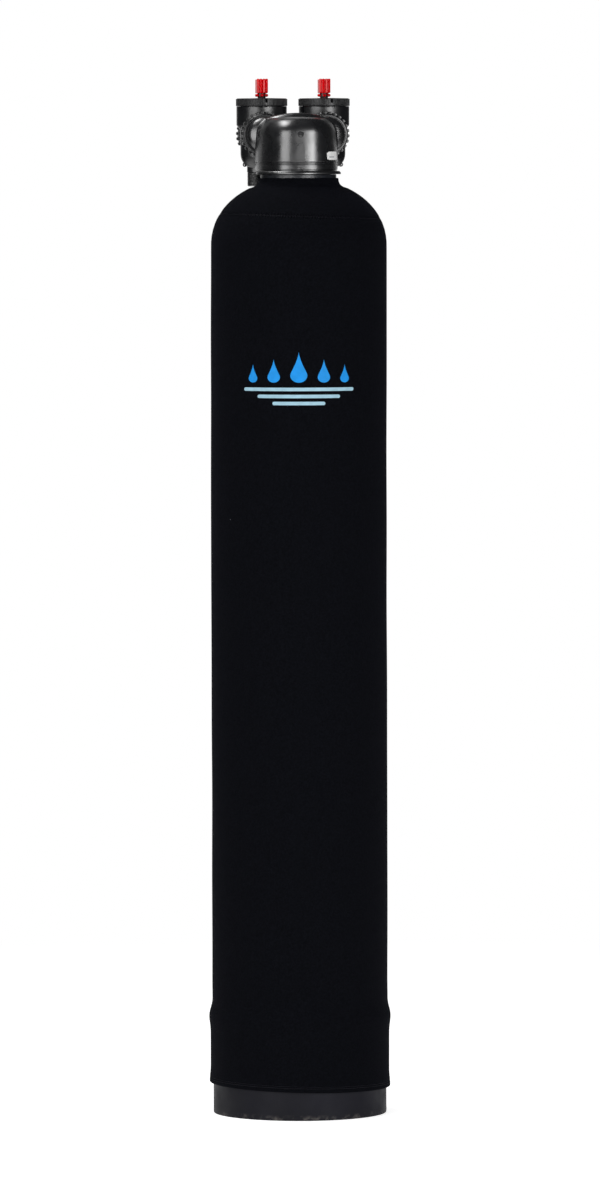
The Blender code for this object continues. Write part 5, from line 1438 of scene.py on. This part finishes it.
def valve_field(points):
    """The bypass body with its bores; both sides at once."""
    points = mirrored(points)
    centre = (PORT_X, VALVE_Y, 0.0)
    drum_radius = 0.0382
    bowl = [(0.0, BOWL_BOTTOM)]
    for step in range(9):
        turn = TURN / 32 * step
        bowl.append((0.014 + 0.0182 * math.sin(turn), BOWL_BOTTOM + 0.021 * (1 - math.cos(turn))))
    drum = from_turned(points, [
        *bowl, (0.0322, PORT_Z + 0.0070), (0.0330, PORT_Z + 0.0080), (0.0376, PORT_Z + 0.0138),
        (drum_radius, PORT_Z + 0.0150), (drum_radius, CHAMBER_TOP), (0.0, CHAMBER_TOP),
    ], 2, centre)
    spigot = round_port(points, [
        (0.0, HEAD_FACE_Y - 0.0142), *spigot_line(HEAD_FACE_Y), (SPIGOT_RADIUS, VALVE_Y), (0.0, VALVE_Y),
    ])
    back = round_port(points, rounded([
        (0.0, VALVE_Y), (PORT_ROOT, VALVE_Y), (PORT_ROOT, PIPE_FACE_Y), (0.0, PIPE_FACE_Y),
    ], 0.0006, closed=False))
    crossover = ((-0.05, VALVE_Y, PORT_Z), (PORT_X, VALVE_Y, PORT_Z))
    link = from_rod(points, *crossover, 0.0165)
    ear_root = (PORT_X + 0.016, VALVE_Y, BOWL_BOTTOM + 0.0060)
    ear = from_rod(points, ear_root, (PORT_X + 0.0243, VALVE_Y, BOWL_BOTTOM + 0.0046), 0.0013)
    body = fused(fused(fused(drum, spigot, 0.002), back, 0.003), fused(link, ear, 0.001), 0.003)
    barrel = 0.0275
    mouth = 0.0331
    cavity = from_turned(points, [
        (0.0, BOWL_BOTTOM + 0.0046), (0.016, BOWL_BOTTOM + 0.0046), (0.0241, BOWL_BOTTOM + 0.008),
        (barrel, BOWL_BOTTOM + 0.0161), (barrel, CHAMBER_LEDGE), (mouth, CHAMBER_LEDGE),
        (mouth, CHAMBER_TOP + 0.02), (0.0, CHAMBER_TOP + 0.02),
    ], 2, centre)
    through = round_port(points, [
        (0.0, 0.04), (PORT_BORE, 0.04), (PORT_BORE, PIPE_FACE_Y - SOCKET_DEPTH),
        (SOCKET_RADIUS, PIPE_FACE_Y - SOCKET_DEPTH), (SOCKET_RADIUS, 0.2), (0.0, 0.2),
    ])
    ways = np.minimum(np.minimum(cavity, through), from_rod(points, *crossover, PORT_BORE))
    return shared(body, -ways, 0.0005)


def make_valve(settings):
    """The bypass body: two chambers, the crossover, four ports and two small ears."""
    pitch = settings.grid * 1.15
    low = (-0.090, HEAD_FACE_Y - 0.018, BOWL_BOTTOM - 0.004)
    high = (0.090, PIPE_FACE_Y + 0.004, CHAMBER_TOP + 0.004)
    shells = [moulded(valve_field, low, high, pitch)]
    eye = rounded([(0.0014, -0.0015), (0.0034, -0.0015), (0.0034, 0.0015), (0.0014, 0.0015)], 0.0006)
    points, faces = turned(eye, 28)
    x, y, z = points.T
    for side in STREAMS.values():
        place = np.array([side * (PORT_X + 0.0256), VALVE_Y, BOWL_BOTTOM + 0.0046])
        shells.append((np.stack([x, z, -y], axis=1) + place, faces))
    points, faces = joined_shells(shells)
    mesh = mesh_of("valve_moulding", points, faces, 0.000002)
    look = look_named("valve_plastic")
    for side in STREAMS.values():
        mesh = with_port_thread(mesh, side, PIPE_FACE_Y - 0.0150, PIPE_FACE_Y - 0.0015, look)
    return piece(
        "valve_moulding", mesh, "valve_plastic", stands_for=["bypass_body"], crease=40.0
    )


def bar_object(name, outline, bottom, top, rounding):
    """A small bar for the ring tree to copy; it is removed after use."""
    return new_object(name, cut_out(outline, bottom, top, rounding))


def with_bars(mesh, bar, count, radius, turn=0.0, left_out=1000, look="valve_plastic"):
    """The mesh with a ring of bars, without each bar whose number is a multiple of left_out; the bar goes."""
    made = grown(mesh, tree_named("ring_of_bars"), **{
        "Bar": bar, "Count": count, "Radius": radius, "Turn": turn, "Left Out": left_out,
        "Material": look_named(look),
    })
    bpy.data.objects.remove(bar)
    return made


def make_unions(settings):
    """Four castellated union nuts."""
    bore = 0.0254
    body = 0.0305
    rim = 0.0330
    start = NUT_END - 0.009
    outline = rounded([
        (bore, -0.016), (body, -0.016), (body, start - 0.0012), (rim, start), (rim, NUT_END),
        (SOCKET_RADIUS, NUT_END), (SOCKET_RADIUS, NUT_SEAT), (bore, NUT_SEAT),
    ], 0.0008)
    points, faces = turned(outline, 104)
    tooth = rounded([
        (-0.002, -0.0024), (0.0012, -0.0024), (0.0022, -0.0015), (0.0022, 0.0015), (0.0012, 0.0024),
        (-0.002, 0.0024),
    ], 0.0006)
    bar = bar_object("tooth", tooth, start - 0.0006, NUT_END - 0.0004, 0.0005)
    nut = with_bars(mesh_of("nut", points, faces, 0.00001), bar, settings.teeth, rim, 0.06)
    laid = Matrix.Rotation(-TURN / 4, 4, "X")
    for stream, side in STREAMS.items():
        for end, face_y in (("head", HEAD_FACE_Y), ("pipe", PIPE_FACE_Y)):
            mesh = nut.copy()
            mesh.transform(Matrix.Translation((side * PORT_X, face_y, PORT_Z)) @ laid)
            piece(
                f"{stream}_{end}_nut_castellated", mesh, "valve_plastic",
                stands_for=[f"{stream}_{end}_nut"],
            )


def make_caps(settings):
    """Two chamber caps: crowned top, ribbed rim with spanner slots, hollow skirt with a groove."""
    rim = CAP_RADIUS - 0.0006
    rim_low = CAP_TOP - 0.0123
    skirt = 0.0326
    skirt_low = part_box("inlet_cap")[0].z
    hollow = 0.0240
    hollow_top = CAP_TOP - 0.0065
    hole = 0.0068
    groove = PORT_Z + 0.0408
    groove_floor = 0.0289
    slot_floor = CAP_TOP - 0.0072
    slot_radius = 0.0250
    crown = 0.0006
    per_slot = settings.ribs // 4
    outline = [
        (hole, CAP_TOP), (slot_radius - 0.0004, CAP_TOP - 0.6 * crown),
        (slot_radius, CAP_TOP - 0.62 * crown), (rim - 0.0008, CAP_TOP - crown),
        (rim, CAP_TOP - crown - 0.0009), (rim, slot_floor), (rim, slot_floor - 0.0002),
        (rim, rim_low + 0.0006),
        (rim - 0.0006, rim_low), (skirt, rim_low), (skirt, groove + 0.0020), (groove_floor, groove + 0.0020),
        (groove_floor, groove - 0.0020), (skirt, groove - 0.0020), (skirt, skirt_low), (hollow, skirt_low),
        (hollow, hollow_top), (hole, hollow_top),
    ]
    # Four slots, each in the place of a rib; the rings are finer at their sides
    slots = (np.arange(4) * per_slot + per_slot - 1) * TURN / (4 * per_slot)
    half = 0.0021 / rim
    plain = np.arange(144) * TURN / 144
    off = np.abs(plain[:, None] - slots[None, :]).min(axis=1)
    sides = [side * share for side in (-1, 1) for share in (half - 0.0008, half + 0.0008)]
    edges = [slot + side for slot in slots for side in sides]
    angles = np.sort(np.concatenate([plain[off > half + 0.004], slots, edges]))

    def with_slots(radius, height, angle):
        """The rim drawn in to the slots' floor over each slot's width."""
        in_slot = np.abs(angle[..., None] - slots).min(axis=-1) < half
        drawn = in_slot & (radius > slot_radius) & (height > slot_floor - 0.0001)
        return np.where(drawn, slot_radius, radius), height

    line = finely(rounded(outline, 0.0006, 2), 0.006)
    points, faces = turned(line, 0, with_slots, angles)
    rib = rounded([
        (-0.001, -0.0007), (0.0008, -0.0007), (0.0011, -0.0004), (0.0011, 0.0004), (0.0008, 0.0007),
        (-0.001, 0.0007),
    ], 0.0003)
    bar = bar_object("rib", rib, rim_low + 0.0002, CAP_TOP - crown - 0.0008, 0.0002)
    cap = with_bars(mesh_of("cap", points, faces, 0.00001), bar, 4 * per_slot, rim, left_out=per_slot)
    for stream, slot_degrees in (("inlet", -75.9), ("outlet", -82.8)):
        mesh = cap.copy()
        mesh.transform(Matrix.Rotation(math.radians(slot_degrees) - slots[0], 4, "Z"))
        mesh.transform(Matrix.Translation((STREAMS[stream] * PORT_X, VALVE_Y, 0.0)))
        piece(f"{stream}_cap_ribbed", mesh, "cap_plastic", stands_for=[f"{stream}_cap"])


# Handles

TAIL_RADIUS = 0.016
TAIL_END = 0.0205


def tail_point(angle, depth=0.0):
    """A point on the round end of the handle's tail, seen from above."""
    reach = TAIL_RADIUS - depth
    return (reach * math.sin(angle), TAIL_RADIUS - TAIL_END - reach * math.cos(angle))


def grip_outline():
    """The handle's body from above: an arrow toward +Y with a round tail."""
    right = [(0.0088, 0.0115), (0.0088, 0.0085), (0.0080, 0.0070)]
    left = [(-x, y) for x, y in reversed(right)]
    tail = [tail_point(math.radians(32.0 - 8.0 * step), 0.0016) for step in range(9)]
    return rounded_flat([(0.0, 0.024), *right, *tail, *left], 0.0012)


def rib_outline(middle):
    """One rib of the tail from above."""
    half = math.radians(7.0)
    top = [tail_point(middle + half * share) for share in (1.0, 0.33, -0.33, -1.0)]
    return rounded_flat([tail_point(middle + half, 0.004), *top, tail_point(middle - half, 0.004)], 0.0007)


def round_outline(radius, count=16):
    """A circle's corners."""
    turns = [TURN * step / count for step in range(count)]
    return [(radius * math.cos(turn), radius * math.sin(turn)) for turn in turns]


def one_mesh(name, meshes):
    """Several meshes as one."""
    bm = bmesh.new()
    for mesh in meshes:
        bm.from_mesh(mesh)
    made = bpy.data.meshes.new(name)
    bm.to_mesh(made)
    bm.free()
    return made


def rounded_flat(outline, radius, steps=3):
    """A flat outline with every corner rounded, also those left of the axis."""
    shift = 1.0
    moved_out = [(x + shift, y) for x, y in outline]
    return [(x - shift, y) for x, y in rounded(moved_out, radius, steps)]


def make_handles():
    """Two red handles, each on its own body: an arrow with a ribbed tail over a ring of round petals."""
    grip_low = HANDLE_LOW + 0.0053
    parts = [cut_out(grip_outline(), grip_low, HANDLE_HIGH - 0.0008, 0.0010)]
    for place in (-1.5, -0.5, 0.5, 1.5):
        rib = rib_outline(math.radians(17.3) * place)
        parts.append(cut_out(rib, grip_low + 0.0004, HANDLE_HIGH, 0.0011))
    petal = bar_object("petal", round_outline(0.0029), HANDLE_LOW, HANDLE_LOW + 0.0044, 0.0020)
    handle = with_bars(one_mesh("handle", parts), petal, 6, 0.0080, TURN / 12, look="acetal_red")
    collar = cut_out(round_outline(0.0066, 32), HANDLE_LOW - 0.0002, grip_low + 0.0003, 0.0003)
    for stream, side in STREAMS.items():
        place = Matrix.Translation((side * PORT_X, VALVE_Y, 0.0))
        body = f"{stream}_valve"
        mesh = handle.copy()
        mesh.transform(place)
        piece(
            f"{stream}_handle_ribbed", mesh, "acetal_red", body,
            stands_for=[f"{stream}_handle"],
        )
        mesh = collar.copy()
        mesh.transform(place)
        piece(f"{stream}_handle_collar", mesh, "valve_plastic", body)


# Elbows

BEND_RADIUS = 0.020
LEG_REACH = 0.029


def elbow_ring(distance, radius, segments):
    """A ring round the elbow's bent line, at a distance from the pipe union's face."""
    straight = LEG_REACH - BEND_RADIUS
    arc = BEND_RADIUS * math.pi / 2
    turn = min(max((distance - straight) / BEND_RADIUS, 0.0), math.pi / 2)
    along = min(distance, straight) + BEND_RADIUS * math.sin(turn)
    down = BEND_RADIUS * (1 - math.cos(turn)) + max(distance - straight - arc, 0.0)
    angle = np.arange(segments) * TURN / segments
    out = np.outer(np.sin(angle), [0.0, math.sin(turn), math.cos(turn)])
    across = np.outer(np.cos(angle), [1.0, 0.0, 0.0])
    return np.array([0.0, PIPE_FACE_Y + along, PORT_Z - down]) + radius * (out + across)


def make_elbows(settings):
    """Two elbows with a spigot, a bend and a leg with a pipe thread."""
    leg = 0.0168
    body = 0.0178
    straight = LEG_REACH - BEND_RADIUS
    bend_end = straight + BEND_RADIUS * math.pi / 2
    thread_start = bend_end + 0.004 + 0.0327
    end = PORT_Z - ELBOW_END - BEND_RADIUS + bend_end
    root = leg - 0.0013
    line = [*spigot_line(0.0), (SPIGOT_RADIUS, NUT_END + 0.0003), (body, NUT_END + 0.0006)]
    line += [(body, straight + (bend_end - straight) * step / 18) for step in range(19)]
    line += [
        (body, bend_end + 0.0036), (body - 0.0003, bend_end + 0.0042), (leg, bend_end + 0.0050),
        (leg, thread_start), (root, thread_start + 0.0012), (root, end - 0.0008), (root - 0.0008, end),
        (PORT_BORE + 0.0005, end), (PORT_BORE, end - 0.0005),
    ]
    line += [(PORT_BORE, bend_end - (bend_end - straight) * step / 18) for step in range(19)]
    line += [(PORT_BORE, -0.0142)]
    segments = 56
    rings = np.concatenate([elbow_ring(distance, radius, segments) for radius, distance in line])
    faces = grid_faces(len(line), segments, closed_rows=True)
    bare = mesh_of("elbow", moved(rings, y=-PIPE_FACE_Y - LEG_REACH), faces, 0.000001)
    wound = grown(bare, tree_named("screw_thread"), **{
        "Pitch": settings.pipe_pitch, "Crest": leg, "Start": ELBOW_END + 0.0009,
        "Length": end - thread_start - 0.0018, "Material": look_named("valve_plastic"),
    })
    for stream, side in STREAMS.items():
        mesh = wound.copy()
        mesh.transform(Matrix.Translation((side * PORT_X, PIPE_FACE_Y + LEG_REACH, 0.0)))
        piece(
            f"{stream}_elbow_threaded", mesh, "valve_plastic",
            stands_for=[f"{stream}_elbow"],
        )


# Pieces that keep their solids' shapes

def finish_solids():
    """Materials of the solids that still show: media, pipe, baskets, rotors and seals."""
    looks = {
        "gravel": "river_gravel",
        "carbon": "carbon_granules",
        "white_pipe": "pipe_white",
        "grey_plastic": "basket_grey",
        "seal_rubber": "nitrile_rubber",
    }
    slots = {row["node"]: row["material_slot"] for row in frame["record"]["subparts"]}
    for name, node in frame["nodes"].items():
        if slots[name] in looks:
            look = "rotor_black" if name.endswith("_rotor") else looks[slots[name]]
            node.data.materials.clear()
            node.data.materials.append(look_named(look))


# Stage

def lamp(name, place, size, power, aim):
    """A soft lamp that faces a point."""
    light = bpy.data.lights.new(name, "AREA")
    light.shape = "RECTANGLE"
    light.size, light.size_y = size
    light.energy = power
    made = new_object(name, light)
    made.location = place
    made.rotation_euler = (Vector(aim) - Vector(place)).to_track_quat("-Z", "Y").to_euler()


def ray_kinds(tree):
    """What is 1 for camera rays, and what is 1 for the rays that mirrors and glass send on."""
    path = add(tree, "ShaderNodeLightPath").outputs
    mirror = add(tree, "ShaderNodeMath", {
        0: path["Is Glossy Ray"], 1: path["Is Transmission Ray"],
    }, operation="MAXIMUM")
    return path["Is Camera Ray"], mirror


def make_world():
    """White for the camera; for mirrors a room bright only far behind; else light that grows to the back."""
    world = bpy.data.worlds.new("studio")
    bpy.context.scene.world = world
    world.use_nodes = True
    tree = world.node_tree
    toward = add(tree, "ShaderNodeTexCoord").outputs["Generated"]
    depth = add(tree, "ShaderNodeSeparateXYZ", {"Vector": toward}).outputs["Y"]
    room = add(tree, "ShaderNodeMapRange", {"Value": depth, "From Min": 0.86, "To Min": 0.03})
    fill = add(tree, "ShaderNodeMapRange", {"Value": depth, "To Min": 0.1, "To Max": 1.1})
    camera, mirror = ray_kinds(tree)
    reflected = add(tree, "ShaderNodeMix", {"Factor": mirror, "A": fill, "B": room})
    seen = add(tree, "ShaderNodeMix", {"Factor": camera, "A": reflected, "B": 1.0})
    wire(tree, tree.nodes["Background"], {"Color": linear("#FFFFFF"), "Strength": seen})


def make_floor():
    """A white floor that keeps the filter's shadow and fades into the white behind it."""
    mesh = bpy.data.meshes.new("floor")
    bm = bmesh.new()
    bmesh.ops.create_circle(bm, cap_ends=True, segments=96, radius=3.0)
    bm.to_mesh(mesh)
    bm.free()
    look = bpy.data.materials.new("white_floor")
    look.use_nodes = True
    tree = look.node_tree
    shader = tree.nodes["Principled BSDF"]
    place = add(tree, "ShaderNodeTexCoord").outputs["Object"]
    far = add(tree, "ShaderNodeVectorMath", {0: place}, operation="LENGTH").outputs["Value"]
    near = add(tree, "ShaderNodeMapRange", {
        "Value": far, "From Min": 1.6, "From Max": 2.8, "To Min": 1.0, "To Max": 0.0,
    })
    paper = add(tree, "ShaderNodeMix", {
        "Factor": near, 6: linear("#000000"), 7: linear("#F2F2F2"),
    }, data_type="RGBA")
    camera, mirror = ray_kinds(tree)
    paper_level = add(tree, "ShaderNodeMath", {0: mirror, 1: near}, operation="MULTIPLY")
    dimmed = add(tree, "ShaderNodeMath", {0: paper_level, 1: 0.4}, operation="MULTIPLY")
    white = add(tree, "ShaderNodeMapRange", {"Value": near, "To Min": 1.0, "To Max": 0.62})
    seen = add(tree, "ShaderNodeMix", {"Factor": camera, "A": dimmed, "B": white})
    wire(tree, shader, {
        "Roughness": 0.9, "Specular IOR Level": 0.0, "Base Color": paper.outputs[2],
        "Emission Color": linear("#FFFFFF"), "Emission Strength": seen,
    })
    mesh.materials.append(look)
    floor = new_object("floor", mesh)


def make_camera(settings):
    """The camera, at the photograph's angle."""
    back = Vector((math.sin(settings.turn), -math.cos(settings.turn), 0.0))
    right = Vector((math.cos(settings.turn), math.sin(settings.turn), 0.0))
    place = back * settings.distance + Vector((0.0, 0.0, settings.eye))
    aim = right * settings.side + Vector((0.0, 0.0, settings.aim))
    camera = bpy.data.cameras.new("camera")
    camera.sensor_width = 36.0
    camera.lens = camera.sensor_width * (aim - place).length / settings.framed
    camera.clip_end = 200.0
    made = new_object("camera", camera)
    made.location = place
    level = (aim - place).to_track_quat("-Z", "Y").to_matrix()
    made.rotation_euler = (level @ Matrix.Rotation(settings.roll, 3, "Z")).to_euler()
    bpy.context.scene.camera = made


def make_stage(settings):
    """Floor, world, two tall soft boxes in front, a top light and the camera."""
    bpy.context.scene.view_settings.view_transform = "Standard"
    make_world()
    make_floor()
    shoulder = (0.0, 0.0, 1.45)
    lamp("soft_box_left", (-2.15, -2.5, 1.45), (2.5, 2.6), 60.0, shoulder)
    lamp("soft_box_right", (1.45, -2.96, 1.45), (1.5, 2.6), 77.0, shoulder)
    lamp("top_light", (-0.9, 0.30, 3.4), (1.6, 0.8), 34.0, (0.0, 0.0, PORT_Z))
    make_camera(settings)


# Operators

class FILTER_OT_jacket(bpy.types.Operator):
    """Sew the neoprene jacket and print its front"""
    bl_idname = "filter.jacket"
    bl_label = "Jacket"

    def execute(self, context):
        settings = context.scene.filter_jacket
        jacket, threads, skin = make_jacket(settings)
        prints = make_print(settings, skin)
        return {"FINISHED"}


class FILTER_OT_boot(bpy.types.Operator):
    """Mould the rubber boot"""
    bl_idname = "filter.boot"
    bl_label = "Boot"

    def execute(self, context):
        make_boot()
        return {"FINISHED"}


class FILTER_OT_tank(bpy.types.Operator):
    """Wind the pressure tank"""
    bl_idname = "filter.tank"
    bl_label = "Tank"

    def execute(self, context):
        make_tank()
        return {"FINISHED"}


class FILTER_OT_head(bpy.types.Operator):
    """Mould the in/out head and stick its label on"""
    bl_idname = "filter.head"
    bl_label = "Head"

    def execute(self, context):
        make_head(context.scene.filter_plastic)
        make_gate_mark()
        make_label()
        return {"FINISHED"}


class FILTER_OT_valve(bpy.types.Operator):
    """Mould the bypass valve's body"""
    bl_idname = "filter.valve"
    bl_label = "Bypass body"

    def execute(self, context):
        make_valve(context.scene.filter_plastic)
        return {"FINISHED"}


class FILTER_OT_unions(bpy.types.Operator):
    """Make the four union nuts"""
    bl_idname = "filter.unions"
    bl_label = "Union nuts"

    def execute(self, context):
        make_unions(context.scene.filter_plastic)
        return {"FINISHED"}


class FILTER_OT_caps(bpy.types.Operator):
    """Make the two chamber caps"""
    bl_idname = "filter.caps"
    bl_label = "Caps"

    def execute(self, context):
        make_caps(context.scene.filter_plastic)
        return {"FINISHED"}


class FILTER_OT_handles(bpy.types.Operator):
    """Make the two red handles"""
    bl_idname = "filter.handles"
    bl_label = "Handles"

    def execute(self, context):
        make_handles()
        return {"FINISHED"}


class FILTER_OT_elbows(bpy.types.Operator):
    """Make the two pipe elbows"""
    bl_idname = "filter.elbows"
    bl_label = "Elbows"

    def execute(self, context):
        make_elbows(context.scene.filter_plastic)
        return {"FINISHED"}


class FILTER_OT_insides(bpy.types.Operator):
    """Finish the solids that keep their shapes"""
    bl_idname = "filter.insides"
    bl_label = "Inner parts"

    def execute(self, context):
        finish_solids()
        return {"FINISHED"}


class FILTER_OT_stage(bpy.types.Operator):
    """Build the floor, the lights and the camera"""
    bl_idname = "filter.stage"
    bl_label = "Stage"

    def execute(self, context):
        make_stage(context.scene.filter_stage)
        return {"FINISHED"}


class FILTER_PT_panel(bpy.types.Panel):
    """The water filter's operators"""
    bl_idname = "FILTER_PT_panel"
    bl_label = "Water filter"
    bl_space_type = "VIEW_3D"
    bl_region_type = "UI"
    bl_category = "Water filter"

    def draw(self, context):
        for operator in OPERATORS:
            self.layout.operator(operator.bl_idname)


OPERATORS = (
    FILTER_OT_stage, FILTER_OT_jacket, FILTER_OT_boot, FILTER_OT_tank, FILTER_OT_head, FILTER_OT_valve,
    FILTER_OT_unions, FILTER_OT_caps, FILTER_OT_handles, FILTER_OT_elbows, FILTER_OT_insides,
)
SETTINGS = {"filter_jacket": JacketSettings, "filter_plastic": PlasticSettings, "filter_stage": StageSettings}


def register():
    """Register every class and give the scene its settings."""
    for made in (*SETTINGS.values(), *OPERATORS, FILTER_PT_panel):
        bpy.utils.register_class(made)
    for name, group in SETTINGS.items():
        setattr(bpy.types.Scene, name, bpy.props.PointerProperty(type=group))


def unregister():
    """Take the settings and the classes away again."""
    for name in SETTINGS:
        delattr(bpy.types.Scene, name)
    for made in (FILTER_PT_panel, *reversed(OPERATORS), *SETTINGS.values()):
        bpy.utils.unregister_class(made)


def main():
    """Dress the filter: every operator in order."""
    register()
    for operator in OPERATORS:
        getattr(bpy.ops.filter, operator.bl_idname.split(".")[1])()


if __name__ == "__main__":
    main()
